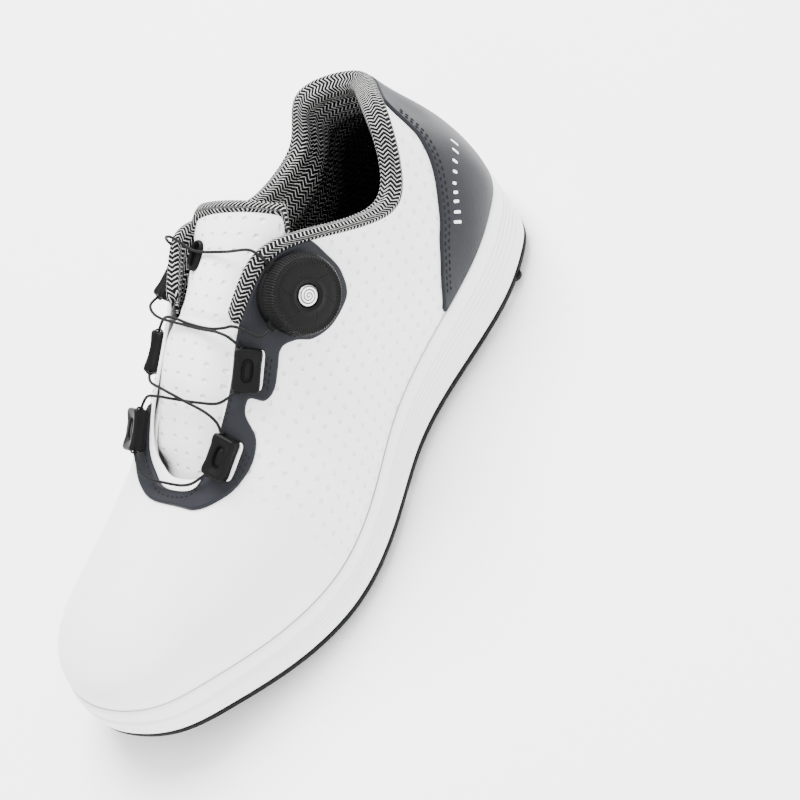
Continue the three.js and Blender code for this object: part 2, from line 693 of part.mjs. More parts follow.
// ---------------------------------------------------------------- tongue
// Centre line from under the vamp to the top edge, with half width, edge drop and foam depth.
const TONGUE_ROUTE = [
  [213, 62], [206, 66], [200, 72.5], [194, 80], [184.5, 90], [171.5, 100.5], [157, 108.8],
  [142, 116], [127, 122.5], [116, 127.3], [109, 130.4],
];
const TONGUE_HALF_WIDTH = [[0, 19], [0.3, 24.5], [0.55, 23.5], [0.72, 20.3], [0.85, 20.6], [1, 25]];
const TONGUE_EDGE_DROP = [[0, 7], [0.12, 9], [0.3, 17], [0.5, 15.5], [0.62, 12], [0.75, 8.5], [1, 6.5]];
const TONGUE_FOAM = [[0, 1.5], [0.4, 3.2], [1, 4.6]];
const TONGUE_SKEW = 5.5; // its top edge runs back towards the lateral side
const tongueCurve = new THREE.CatmullRomCurve3(TONGUE_ROUTE.map(([x, z]) => point(x, -1, z)));

// The tongue's outer face: s along it from 0 to 1, c across it from -1 to 1.
function tongueFace(s, c) {
  const centre = tongueCurve.getPointAt(clamp01(s));
  const half = along(TONGUE_HALF_WIDTH, s);
  const drop = along(TONGUE_EDGE_DROP, s) * Math.abs(c) ** 2.2;
  const skew = TONGUE_SKEW * c * smooth(s, 0.55, 1);
  return centre.add(point(-0.35 * drop - skew, c * half, -drop));
}
const TONGUE_SIGN = Math.sign(normalOf(tongueFace, 0.5, 0, -1).z);
const tongueAt = (s, c, depth) =>
  tongueFace(s, c).addScaledVector(
    normalOf(tongueFace, Math.min(Math.max(s, 3e-3), 1 - 3e-3), c, -1).multiplyScalar(TONGUE_SIGN),
    -depth,
  );

const TONGUE_END = 0.965; // the faces stop here, where the top binding starts
const tongueSs = spread(12, 0, TONGUE_END);
const tongueCs = spread(9, -1, 1);

function tongueLayer(ss, cs, outer, inner) {
  const rings = ss.map((s) => {
    const outside = cs.map((c) => tongueAt(s, c, outer(s, c)));
    const inside = cs.map((c) => tongueAt(s, c, inner(s, c)));
    return [...outside, ...inside.reverse()];
  });
  return loft(rings);
}
const TONGUE_FACE_THICKNESS = 1.1;
const TONGUE_LINING_THICKNESS = 0.9;
const foamDepth = (s, c) =>
  TONGUE_FACE_THICKNESS + GAP + along(TONGUE_FOAM, s) * Math.sqrt(Math.max(1 - c * c, 0.12));
const tongueDepth = (s, c) => foamDepth(s, c) + GAP + TONGUE_LINING_THICKNESS;
add("tongue_face", tongueLayer(tongueSs, tongueCs, () => 0, () => TONGUE_FACE_THICKNESS), WHITE_UPPER);
add(
  "tongue_foam",
  tongueLayer(tongueSs.slice(1), tongueCs.slice(1, -1), () => TONGUE_FACE_THICKNESS + 0.5, foamDepth),
  WHITE_FOAM,
);
add(
  "tongue_lining",
  tongueLayer(tongueSs.slice(1), tongueCs, (s, c) => foamDepth(s, c) + GAP, tongueDepth),
  KNIT,
);

// Knit binding rolled over the tongue's top edge.
function tongueBinding() {
  const rings = spread(11, -0.98, 0.98).map((c) => {
    const edge = tongueAt(TONGUE_END, c, 0);
    const outward = tongueAt(TONGUE_END, c, -1).sub(edge);
    const onward = tongueFace(TONGUE_END, 0).sub(tongueFace(TONGUE_END - 0.03, 0)).normalize();
    const depth = tongueDepth(TONGUE_END, c);
    return [[0.6, GAP], [0.6, 2.6], [-0.4, 4.2], [-depth + 0.8, 4.2], [-depth, 2.6], [-depth, GAP]].map(
      ([across, height]) => edge.clone().addScaledVector(outward, across).addScaledVector(onward, height),
    );
  });
  return loft(rings);
}
add("tongue_binding", tongueBinding(), KNIT);

// Oval lace keeper let into the tongue's face, off centre on the medial side.
const KEEPER = { s: 0.82, c: -0.62, length: 12, width: 6, thickness: 1 };
function keeperHolder() {
  const up = tongueAt(KEEPER.s, KEEPER.c, -1).sub(tongueAt(KEEPER.s, KEEPER.c, 0)).normalize();
  const onward = tongueFace(KEEPER.s - 0.02, KEEPER.c);
  const lengthwise = onward.sub(tongueFace(KEEPER.s + 0.02, KEEPER.c)).normalize();
  const across = up.clone().cross(lengthwise).normalize();
  const holder = new THREE.Group();
  holder.applyMatrix4(
    new THREE.Matrix4().makeBasis(lengthwise, across, up).setPosition(tongueAt(KEEPER.s, KEEPER.c, -0.75)),
  );
  return holder;
}
const keeperGroup = keeperHolder();
const keeper = pill([0, 0], KEEPER.length, KEEPER.width, KEEPER.thickness, 0);
add("tongue_lace_keeper", keeper, BLACK_PLASTIC, keeperGroup);
root.add(keeperGroup);

// ---------------------------------------------------------------- dial
// The dial stands on the widened lateral end of the eyestay, its axis square to the upper.
const DIAL_CENTRE = point(131.6, 31.9, 108.4);
const DIAL_AXIS = point(0.13, 0.93, 0.34).normalize();
const DIAL_BASE_RADIUS = 15.6;
const DIAL_BASE_TOP = 2.2;
const HOUSING_RADIUS = 12.6;
const HOUSING_BORE = 11;
const HOUSING_TOP = 6.6;
const KNOB_RADIUS = 16.4;
const KNOB_TOP_RADIUS = 14.9;
const KNOB_BOTTOM = 4.9;
const KNOB_TOP = 11;
const PORT_HEIGHT = 3.3;
const PORT_DEGREES = [-3, -92];

const dialToe = point(1, 0, 0).addScaledVector(DIAL_AXIS, -DIAL_AXIS.x).normalize();
const dialSide = DIAL_AXIS.clone().cross(dialToe).normalize();
const dialGroup = new THREE.Group();
dialGroup.applyMatrix4(new THREE.Matrix4().makeBasis(dialToe, dialSide, DIAL_AXIS).setPosition(DIAL_CENTRE));
root.add(dialGroup);

// A turned piece about the dial's axis from its [radius, height] profile.
function turned(profile, segments = 24) {
  const points = profile.map(([radius, height]) => new THREE.Vector2(radius, height));
  const body = new THREE.LatheGeometry([...points, points[0]], segments);
  body.rotateX(Math.PI / 2);
  return body;
}

function outwardFacing(geometry) {
  const bare = geometry.clone();
  bare.deleteAttribute("normal");
  bare.deleteAttribute("uv");
  const merged = mergeVertices(bare, 1e-3);
  const vertices = Array.from(merged.attributes.position.array);
  const triangles = Array.from(merged.index.array).filter((_, i, all) => {
    const [a, b, c] = all.slice(i - (i % 3), i - (i % 3) + 3);
    return a !== b && b !== c && c !== a;
  });
  if (signedVolume(vertices, triangles) < 0) triangles.reverse();
  return geometryOf(vertices, triangles);
}
const lathe = (profile, segments) => outwardFacing(turned(profile, segments));

function dialBase() {
  const cup = lathe([
    [2.6, -5.6], [DIAL_BASE_RADIUS, -5.6], [DIAL_BASE_RADIUS, 1.6], [DIAL_BASE_RADIUS - 0.6, DIAL_BASE_TOP],
    [HOUSING_RADIUS, DIAL_BASE_TOP], [HOUSING_RADIUS, HOUSING_TOP], [HOUSING_BORE, HOUSING_TOP],
    [HOUSING_BORE, 1.6], [2.6, 1.6],
  ]);
  const ports = PORT_DEGREES.map((degrees) =>
    new THREE.BoxGeometry(6.6, 4.4, 2.6)
      .translate(HOUSING_RADIUS + 2.4, 0, PORT_HEIGHT - 0.1)
      .rotateZ(THREE.MathUtils.degToRad(degrees)),
  );
  const holes = PORT_DEGREES.map((degrees) =>
    new THREE.CylinderGeometry(1, 1, 12, 8)
      .rotateZ(Math.PI / 2)
      .translate(HOUSING_RADIUS + 1, 0, PORT_HEIGHT)
      .rotateZ(THREE.MathUtils.degToRad(degrees)),
  );
  // The foot is hollowed to the shape of the eyestay it sits on.
  const seat = upperLayer({
    us: ribSpan(5.6, 9.4, 6),
    hs: spread(8, 0, 1),
    outer: () => -(OVERLAY_GAP + OVERLAY_THICKNESS + GAP),
    inner: () => 6,
    hRange: () => [0.3, 1],
  }).applyMatrix4(dialGroup.matrix.clone().invert());
  const binding = collarBinding().applyMatrix4(dialGroup.matrix.clone().invert());
  return cut(joined(cup, ...ports), ...holes, seat, binding);
}
dialGroup.updateMatrix();
add("dial_base", dialBase(), BLACK_PLASTIC, dialGroup);
add(
  "dial_spool",
  lathe([[2.7, 2], [10.4, 2], [10.4, 2.6], [7, 3], [7, 5.2], [10.4, 5.6], [10.4, 6.2], [2.7, 6.2]], 20),
  WHITE_PLASTIC,
  dialGroup,
);
add("dial_axle", lathe([[0, 0.9], [2.3, 0.9], [2.3, 8.2], [0, 8.2]], 12), STEEL, dialGroup);
add(
  "dial_ratchet",
  lathe([[2.8, 6.9], [12.4, 6.9], [12.4, 8.1], [6, 8.1], [6, 8.4], [2.8, 8.4]], 24),
  BLACK_PLASTIC,
  dialGroup,
);
add("dial_spring", lathe([[6.4, 8.5], [9.4, 8.5], [9.4, 8.9], [6.4, 8.9]], 16), STEEL, dialGroup);
add(
  "dial_knob",
  lathe(
    [
      [0, 9.3], [14.2, 9.3], [14.4, 8.6], [14.6, KNOB_BOTTOM], [KNOB_RADIUS, KNOB_BOTTOM], [KNOB_RADIUS, 8.2],
      [KNOB_TOP_RADIUS, KNOB_TOP - 0.6], [KNOB_TOP_RADIUS - 1.2, KNOB_TOP - 0.2], [6.6, KNOB_TOP + 0.3],
      [4.4, KNOB_TOP + 0.3], [4.4, 10.4], [0, 10.4],
    ],
    28,
  ),
  BLACK_PLASTIC,
  dialGroup,
);
add("dial_cap", lathe([[0, 10.7], [4.1, 10.7], [4.1, 11.5], [3.4, 11.9], [0, 12]], 16), STEEL, dialGroup);

// ---------------------------------------------------------------- lace
// One cord from the dial's upper port through the five guides and back to its lower port.
const LACE_ROUTE = [
  [131.6, 31.1, 120.1], [131.4, 29.2, 125.5], [131, 28.2, 128.2], [130.6, 25.6, 131.2],
  [130.3, 22.4, 131.9], [130.6, 6, 126.6], [131.2, -12.4, 122.4], [130.6, -17.5, 122.1],
  [129.8, -22.3, 124.1], [129.4, -26.3, 125.5], [129.2, -30.2, 124.2], [128.8, -32.3, 120.8],
  [128.8, -32, 117.4],
  // upper medial guide
  [131.6, -30, 112.4], [134.3, -30.8, 108.3], [138.1, -31.7, 105.7], [142.6, -32.7, 105.3],
  [147.3, -33.5, 106.9], [154, -30.4, 110.6], [156.4, -27.4, 110.4], [157.6, -23.2, 109.9],
  [158, -10, 110.3], [158.5, 3, 111.8], [158.9, 13, 113.8], [159.6, 19.4, 113.8],
  [160.1, 22.4, 111.6],
  // upper lateral guide
  [160.5, 23.7, 109], [162.3, 26, 105], [165.4, 27, 101.6], [169.5, 26.3, 99.5],
  [174, 24.3, 98.7], [177.6, 21.9, 98.2], [180.4, 18, 97.2], [182.2, 8, 96.4],
  [183.6, -5, 96], [184.6, -14, 96], [185.6, -19.2, 95.2],
  // lower medial guide
  [189.8, -23.3, 90.5], [192.9, -25.6, 87.2], [196.6, -26.2, 84.5], [200.7, -24.7, 82.9],
  [204.6, -21.7, 82.2], [208.5, -18.2, 81], [211, -15.6, 79], [211.8, -11.5, 77.4],
  [210.8, -4, 76], [209.6, 5, 76.2], [208.2, 10.5, 77.8], [206.3, 13.9, 79.4],
  // lower lateral guide
  [203.2, 17.2, 80.7], [200.1, 20.9, 82], [196.4, 23, 84], [192.5, 22.7, 86.5],
  [188.9, 20.6, 89.3], [186.4, 18.4, 92], [185, 14, 95], [183.8, 2, 97.8],
  [182.2, -10, 98.8], [180.8, -18, 98.4], [178.9, -21.6, 97.2],
  // middle medial guide
  [175.3, -25.3, 95.6], [170.9, -27.5, 94.9], [166.5, -28.7, 95.7], [162.7, -28.5, 98.4],
  [159.7, -27.1, 102.2], [157.4, -25, 105.4], [156.3, -21.6, 108.6], [156.2, -16.5, 110.2],
  [157.4, -4, 111.2], [157.6, 8, 112.6], [156.6, 15.4, 114.2], [155.6, 20, 115.4],
  [154.9, 24, 114], [154.6, 27.6, 111.6], [153.9, 30.6, 109.6], [150.8, 32.3, 109.6],
  [148.8, 32.6, 109.6], [143.2, 33.4, 109.6],
];
add("lace", roundTube(LACE_ROUTE.map((p) => point(...p)), LACE_DIAMETER, 104), BLACK_RUBBER);

// ---------------------------------------------------------------- frame
// The origin goes to the centre of the base of the whole shoe.
root.updateMatrixWorld(true);
const bounds = new THREE.Box3().setFromObject(root, true);
const middle = bounds.getCenter(new THREE.Vector3());
root.position.set(-middle.x, -middle.y, -bounds.min.z);
root.updateMatrixWorld(true);

export default root;
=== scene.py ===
import math

import bpy
import numpy as np
from mathutils import Matrix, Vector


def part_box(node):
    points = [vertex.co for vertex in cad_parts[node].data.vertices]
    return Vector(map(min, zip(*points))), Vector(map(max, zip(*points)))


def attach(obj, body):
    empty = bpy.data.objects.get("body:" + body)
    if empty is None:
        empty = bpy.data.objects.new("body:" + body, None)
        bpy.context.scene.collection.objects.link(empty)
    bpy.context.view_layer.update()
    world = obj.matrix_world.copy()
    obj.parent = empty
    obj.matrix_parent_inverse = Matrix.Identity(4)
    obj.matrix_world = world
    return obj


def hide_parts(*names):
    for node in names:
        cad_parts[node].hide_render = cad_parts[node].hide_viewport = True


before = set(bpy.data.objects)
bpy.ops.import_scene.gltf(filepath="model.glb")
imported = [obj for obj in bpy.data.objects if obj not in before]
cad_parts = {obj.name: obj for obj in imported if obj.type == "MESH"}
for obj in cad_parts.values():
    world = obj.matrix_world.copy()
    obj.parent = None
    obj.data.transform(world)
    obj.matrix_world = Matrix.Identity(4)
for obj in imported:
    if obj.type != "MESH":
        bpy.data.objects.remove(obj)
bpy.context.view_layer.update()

# ---------------------------------------------------------------- studio
# A pale seamless floor, one wide softbox overhead and two weak fills, and the camera above the
# outer side of the toe, rolled so that the toe points down and to the left.
heel_cleat_low, heel_cleat_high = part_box("cleat_heel_medial")
HEEL_CLEAT_PLACE = np.array([54.0, -17.6])
LAYOUT_SHIFT = np.append(
    HEEL_CLEAT_PLACE - 500.0 * (np.array(heel_cleat_low) + np.array(heel_cleat_high))[:2], 0.0
)


def in_frame(points):
    """Layout millimetres to the frame's metres: less the layout's shift, divided by 1000."""
    return (np.asarray(points, dtype=float) - LAYOUT_SHIFT) / 1000.0


camera_data = bpy.data.cameras.new("camera")
camera_data.sensor_width = 36.0
camera_data.lens = 95.0
camera_data.clip_start = 0.05
camera = bpy.data.objects.new("camera", camera_data)
bpy.context.collection.objects.link(camera)
CAMERA_PLACE = (412.46, 572.10, 657.15)
CAMERA_RIGHT = (-0.49060, 0.76130, -0.42395)
CAMERA_UP = (-0.80760, -0.21453, 0.54932)
CAMERA_BACK = (0.32725, 0.61188, 0.72008)
camera_matrix = Matrix(np.column_stack([CAMERA_RIGHT, CAMERA_UP, CAMERA_BACK]).tolist()).to_4x4()
camera_matrix.translation = in_frame(CAMERA_PLACE).tolist()
camera.matrix_world = camera_matrix
bpy.context.scene.camera = camera


def softbox(name, place, aim, width, power):
    """A square area light of that width in metres at place, its face turned to aim."""
    data = bpy.data.lights.new(name, "AREA")
    data.shape = "SQUARE"
    data.size = width
    data.energy = power
    lamp = bpy.data.objects.new(name, data)
    bpy.context.collection.objects.link(lamp)
    direction = Matrix.Translation(place).to_translation() - Matrix.Translation(aim).to_translation()
    lamp.matrix_world = Matrix.Translation(place) @ direction.to_track_quat("Z", "Y").to_matrix().to_4x4()
    return lamp


softbox("key_light", (-0.45, -0.35, 1.25), (0, 0, 0.05), 0.8, 62.0)
softbox("front_fill", (1.1, 0.6, 0.7), (0, 0, 0.05), 1.0, 11.0)
softbox("side_fill", (-0.3, 1.3, 0.5), (0, 0, 0.05), 1.0, 9.0)

world = bpy.data.worlds.new("studio")
bpy.context.scene.world = world
world.use_nodes = True
world.node_tree.nodes["Background"].inputs["Color"].default_value = (1.0, 1.0, 1.0, 1.0)
world.node_tree.nodes["Background"].inputs["Strength"].default_value = 2.3

FLOOR_HALF = 6.0
floor_mesh = bpy.data.meshes.new("studio_floor")
floor_mesh.from_pydata(
    [
        (-FLOOR_HALF, -FLOOR_HALF, 0), (FLOOR_HALF, -FLOOR_HALF, 0), (FLOOR_HALF, FLOOR_HALF, 0),
        (-FLOOR_HALF, FLOOR_HALF, 0),
    ],
    [],
    [(0, 1, 2, 3)],
)
studio_floor = bpy.data.objects.new("studio_floor", floor_mesh)
bpy.context.collection.objects.link(studio_floor)
floor_paper = bpy.data.materials.new("floor_paper")
floor_paper.use_nodes = True
floor_paper.node_tree.nodes["Principled BSDF"].inputs["Base Color"].default_value = (0.97, 0.97, 0.97, 1.0)
floor_paper.node_tree.nodes["Principled BSDF"].inputs["Roughness"].default_value = 0.9
floor_mesh.materials.append(floor_paper)

# ---------------------------------------------------------------- rubber outsole
# A thin black rubber sheet moulded in one with its hexagonal traction lugs and edge bars. It is
# glued under the foam midsole, and its outline is the shoe's own.
SOLE_LENGTH = 298.0
TOE_SPRING, TOE_SPRING_START = 14.0, 205.0
HEEL_SPRING, HEEL_SPRING_START = 2.5, 25.0
MIDSOLE_BASE = 7.0
GAP = 0.3
OUTSOLE_THICKNESS = 2.6
# Ribs of the shoe, toe -> outer side -> heel -> inner side. Each row gives the sole's bottom edge
# (x, y), the upper's top edge (x, y, z), then the bulge and rise of the wall's curve at the sole
# and its spread and drop at the top.
RIBS = np.array([
    [298.0, -11.5, 206.0, -1.0, 73.0, 3, 24, 46, 11],
    [289.5, 17.0, 204.5, 6.5, 73.8, 4, 24, 44, 10],
    [268.0, 33.0, 201.5, 10.5, 75.5, 5, 26, 38, 9],
    [240.0, 47.5, 196.0, 13.5, 79.0, 4, 24, 29, 10],
    [208.0, 56.3, 186.0, 16.2, 87.5, 4, 25, 24, 12],
    [178.0, 54.0, 171.0, 18.0, 98.5, 5, 30, 20, 15],
    [152.0, 46.8, 157.5, 19.5, 111.0, 5, 32, 13, 18],
    [131.0, 41.6, 142.0, 22.5, 121.0, 6, 32, 11, 20],
    [110.0, 40.1, 124.5, 27.5, 125.0, 6, 32, 9, 24],
    [90.0, 40.8, 103.0, 33.0, 111.0, 6, 28, 6, 22],
    [72.0, 41.5, 82.0, 34.5, 94.5, 6, 22, 4, 18],
    [52.0, 40.5, 64.0, 32.5, 92.0, 6, 20, 4, 18],
    [32.0, 35.5, 47.0, 25.5, 109.5, 6, 24, 6, 26],
    [14.0, 22.5, 33.0, 10.0, 110.0, 2, 24, 7, 26],
    [0.5, -11.0, 23.0, -7.0, 105.0, 1, 24, 7, 26],
    [12.0, -31.5, 30.5, -22.5, 106.5, 2, 24, 7, 26],
    [30.0, -38.9, 42.0, -32.0, 103.0, 5, 24, 6, 24],
    [50.0, -38.4, 53.0, -35.0, 88.5, 5, 20, 4, 18],
    [72.0, -34.5, 72.0, -35.0, 86.0, 6, 20, 4, 18],
    [92.0, -30.2, 92.0, -33.5, 93.5, 8, 24, 6, 22],
    [112.0, -28.6, 112.0, -31.0, 110.0, 9, 30, 8, 26],
    [132.0, -30.0, 130.0, -28.5, 118.5, 8, 32, 10, 28],
    [153.0, -34.8, 150.0, -24.5, 109.0, 7, 32, 14, 24],
    [178.0, -43.2, 171.0, -21.5, 98.0, 5, 26, 15, 18],
    [207.0, -49.2, 188.0, -19.5, 88.5, 3, 22, 17, 13],
    [238.0, -51.4, 199.0, -16.5, 79.5, 3, 21, 24, 11],
    [264.0, -48.2, 204.0, -11.0, 75.0, 4, 22, 33, 10],
    [286.0, -37.0, 206.0, -6.5, 73.3, 4, 24, 44, 10],
])
RIB_COUNT = len(RIBS)


def rib_slopes():
    """Slopes of the closed smooth spline through the ribs: each is three times the difference of its
    neighbours less their slopes, over four, settled by repeated averaging."""
    slopes = np.zeros_like(RIBS)
    rise = 3.0 * (np.roll(RIBS, -1, axis=0) - np.roll(RIBS, 1, axis=0))
    for _ in range(60):
        slopes = (rise - np.roll(slopes, 1, axis=0) - np.roll(slopes, -1, axis=0)) / 4.0
    return slopes


SLOPES = rib_slopes()


def rib_at(u):
    """The nine rib numbers at u, from 0 to 1 round the shoe: a cubic between the two nearest ribs."""
    place = np.mod(np.asarray(u, dtype=float), 1.0) * RIB_COUNT
    i = np.floor(place).astype(int) % RIB_COUNT
    j = (i + 1) % RIB_COUNT
    t = (place - np.floor(place))[..., None]
    return (
        RIBS[i] * (2 * t**3 - 3 * t**2 + 1)
        + SLOPES[i] * (t**3 - 2 * t**2 + t)
        + RIBS[j] * (3 * t**2 - 2 * t**3)
        + SLOPES[j] * (t**3 - t**2)
    )


def ease(value, low, high):
    """0 below low, 1 above high, and a smooth S between them."""
    t = np.clip((np.asarray(value, dtype=float) - low) / (high - low), 0.0, 1.0)
    return t * t * (3 - 2 * t)


def spring_at(x):
    """How far the sole is lifted off the ground by the toe spring and the heel's rounding."""
    toe = np.clip((x - TOE_SPRING_START) / (SOLE_LENGTH - TOE_SPRING_START), 0, 1)
    heel = np.clip((HEEL_SPRING_START - x) / HEEL_SPRING_START, 0, 1)
    return TOE_SPRING * toe**2 + HEEL_SPRING * heel**2


def midsole_base(x):
    """Height of the midsole's underside."""
    return MIDSOLE_BASE + spring_at(x)


def outsole_face(x):
    """Height of the outsole's flat underside between the lugs."""
    return midsole_base(x) - GAP - OUTSOLE_THICKNESS


def sole_edge(u):
    """The sole's bottom edge at u and the level unit direction that points out of it."""
    rib, ahead, behind = rib_at(u), rib_at(u + 1e-3), rib_at(u - 1e-3)
    out = np.stack([ahead[..., 1] - behind[..., 1], behind[..., 0] - ahead[..., 0]], axis=-1)
    return rib[..., :2], out / np.linalg.norm(out, axis=-1, keepdims=True), rib


def sole_outline(u, inset, height_at):
    """The sole's edge moved in by inset, at the height that height_at gives for its x."""
    edge, out, _ = sole_edge(u)
    moved = edge - out * np.asarray(inset)[..., None]
    return np.concatenate([moved, height_at(moved[..., 0])[..., None]], axis=-1)


def loft(points, along=False, ends="strip", place=None, look=0):
    """A closed skin over a grid of points: every row is a closed ring, and the rows follow one
    another. Open ends are closed by strips from point j to point count - 1 - j, or by a fan round
    the ring's centre. Faces are turned so that the enclosed volume is positive."""
    rows, count = points.shape[:2]
    i, j = np.meshgrid(np.arange(rows if along else rows - 1), np.arange(count), indexing="ij")
    n, k = (i + 1) % rows, (j + 1) % count
    quads = np.stack([i * count + j, n * count + j, n * count + k, i * count + k], axis=-1).reshape(-1, 4)
    triangles = np.zeros((0, 3), dtype=int)
    vertices = points.reshape(-1, 3)
    if place is not None:
        place = place.reshape(-1, 3)
    last = (rows - 1) * count
    if not along and ends == "strip":
        j = np.arange(count // 2 - 1)
        near = np.stack([j, j + 1, count - 2 - j, count - 1 - j], axis=-1)
        quads = np.concatenate([quads, near, near[:, ::-1] + last])
    elif not along:
        j = np.arange(count)
        k = (j + 1) % count
        first, final = len(vertices), len(vertices) + 1
        triangles = np.concatenate([
            np.stack([np.full(count, first), j, k], axis=-1),
            np.stack([np.full(count, final), k + last, j + last], axis=-1),
        ])
        vertices = np.concatenate([vertices, points[[0, -1]].mean(axis=1)])
        if place is not None:
            place = np.concatenate([place, place[:count].mean(axis=0)[None], place[last:].mean(axis=0)[None]])
    a, b, c, d = (vertices[quads[:, m]] for m in range(4))
    volume = np.sum(a * np.cross(b, c)) + np.sum(a * np.cross(c, d))
    if len(triangles):
        a, b, c = (vertices[triangles[:, m]] for m in range(3))
        volume += np.sum(a * np.cross(b, c))
    if volume < 0:
        quads, triangles = quads[:, ::-1], triangles[:, ::-1]
    return {"vertices": vertices, "quads": quads, "triangles": triangles, "place": place, "look": look}


def two_faced(top, bottom, place):
    """A closed sheet: rings over its top face and back under its bottom face."""
    rings = np.concatenate([top, bottom[:, ::-1]], axis=1)
    return loft(rings, place=np.concatenate([place, place[:, ::-1]], axis=1))


def make_piece(name, parts, materials, body, slot, *nodes, sharp=40.0):
    """Joins lofted parts into one object at the origin, with smooth faces but for edges sharper than
    the given degrees. The attribute 'place' carries each part's own surface coordinates."""
    mesh = bpy.data.meshes.new(name)
    sizes = [len(part["vertices"]) for part in parts]
    starts = np.concatenate([[0], np.cumsum(sizes)[:-1]]).astype(int)
    vertices = in_frame(np.concatenate([part["vertices"] for part in parts]))
    quads = np.concatenate([part["quads"] + s for part, s in zip(parts, starts)])
    triangles = np.concatenate([part["triangles"] + s for part, s in zip(parts, starts)])
    looks = np.concatenate(
        [np.full(len(part["quads"]), part["look"]) for part in parts]
        + [np.full(len(part["triangles"]), part["look"]) for part in parts]
    )
    corners = np.concatenate([quads.ravel(), triangles.ravel()]).astype(np.int32)
    totals = np.concatenate([np.full(len(quads), 4), np.full(len(triangles), 3)]).astype(np.int32)
    mesh.vertices.add(len(vertices))
    mesh.vertices.foreach_set("co", vertices.astype(np.float32).ravel())
    mesh.loops.add(len(corners))
    mesh.loops.foreach_set("vertex_index", corners)
    mesh.polygons.add(len(totals))
    mesh.polygons.foreach_set("loop_start", np.concatenate([[0], np.cumsum(totals)[:-1]]).astype(np.int32))
    mesh.polygons.foreach_set("material_index", looks.astype(np.int32))
    mesh.update(calc_edges=True)
    mesh.validate()
    place = np.concatenate([
        np.zeros((size, 3)) if part["place"] is None else part["place"] for part, size in zip(parts, sizes)
    ])
    if len(mesh.vertices) == len(place):
        attribute = mesh.attributes.new("place", "FLOAT_VECTOR", "POINT")
        attribute.data.foreach_set("vector", place.astype(np.float32).ravel())
    mesh.shade_smooth()
    mesh.set_sharp_from_angle(angle=math.radians(sharp))
    for material in materials:
        mesh.materials.append(material)
    piece = bpy.data.objects.new(name, mesh)
    bpy.context.collection.objects.link(piece)
    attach(piece, body)
    if nodes:
        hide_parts(*nodes)
    return piece


class Finish:
    """A material whose Principled shader is set by plain values, with short ways to add nodes."""

    def __init__(self, name, color, roughness, metallic=0.0, **sockets):
        self.material = bpy.data.materials.new(name)
        self.material.use_nodes = True
        self.tree = self.material.node_tree
        self.shader = self.tree.nodes["Principled BSDF"]
        self.shader.inputs["Base Color"].default_value = (*color, 1.0)
        self.shader.inputs["Roughness"].default_value = roughness
        self.shader.inputs["Metallic"].default_value = metallic
        for socket, value in sockets.items():
            self.shader.inputs[socket.replace("_", " ")].default_value = value

    def node(self, kind, **settings):
        """A node of that kind; settings that name an input link or set it, others set a property."""
        return add_node(self.tree, kind, **settings)

    def math(self, operation, *values):
        """The output of a math node with those inputs in their order."""
        return math_of(self.tree, operation, *values)

    def ramp(self, value, low, high, start=0.0, end=1.0):
        """An output that goes from start to end as the value goes from low to high."""
        limits = {"From_Min": low, "From_Max": high, "To_Min": start, "To_Max": end}
        return self.node("ShaderNodeMapRange", Value=value, **limits).outputs[0]

    def feed(self, socket, source):
        """Links an output to one of the Principled shader's inputs."""
        self.tree.links.new(source, self.shader.inputs[socket])

    def bump(self, height, distance, strength=1.0):
        """Bumps the surface by height times distance in metres."""
        bump = self.node("ShaderNodeBump", Height=height, Distance=distance, Strength=strength)
        self.feed("Normal", bump.outputs["Normal"])

    def place(self):
        """The piece's own surface coordinates in millimetres."""
        return self.node("ShaderNodeAttribute", attribute_name="place").outputs["Vector"]

    def solid_place(self):
        """Object coordinates in metres."""
        return self.node("ShaderNodeTexCoord").outputs["Object"]

    def blend(self, amount, first, second):
        """Mixes two colours by amount."""
        mix = self.node("ShaderNodeMix", data_type="RGBA")
        self.tree.links.new(amount, mix.inputs[0])
        for socket, value in ((mix.inputs[6], first), (mix.inputs[7], second)):
            if isinstance(value, tuple):
                socket.default_value = (*value, 1.0)
            else:
                self.tree.links.new(value, socket)
        return mix.outputs[2]


def add_node(tree, kind, **settings):
    """Adds a node and sets or links what is named: numbers set an input or a property, sockets link."""
    node = tree.nodes.new(kind)
    for key, value in settings.items():
        socket = None
        if key.startswith("in"):
            if key[2:].isdigit():
                socket = node.inputs[int(key[2:])]
        if socket is None and key.replace("_", " ") in node.inputs:
            socket = node.inputs[key.replace("_", " ")]
        if socket is None:
            setattr(node, key, value)
        elif isinstance(value, bpy.types.NodeSocket):
            tree.links.new(value, socket)
        else:
            socket.default_value = value
    return node


def math_of(tree, operation, *values):
    """The output of a math node with those inputs in their order."""
    inputs = {f"in{index}": value for index, value in enumerate(values)}
    return add_node(tree, "ShaderNodeMath", operation=operation, **inputs).outputs[0]


def group_of(name, inputs, outputs):
    """An empty shader node group with named sockets; returns it with its input and output nodes."""
    group = bpy.data.node_groups.new(name, "ShaderNodeTree")
    for label, kind, value in inputs:
        socket = group.interface.new_socket(name=label, in_out="INPUT", socket_type=kind)
        if value is not None:
            socket.default_value = value
    for label, kind in outputs:
        group.interface.new_socket(name=label, in_out="OUTPUT", socket_type=kind)
    return group, group.nodes.new("NodeGroupInput"), group.nodes.new("NodeGroupOutput")


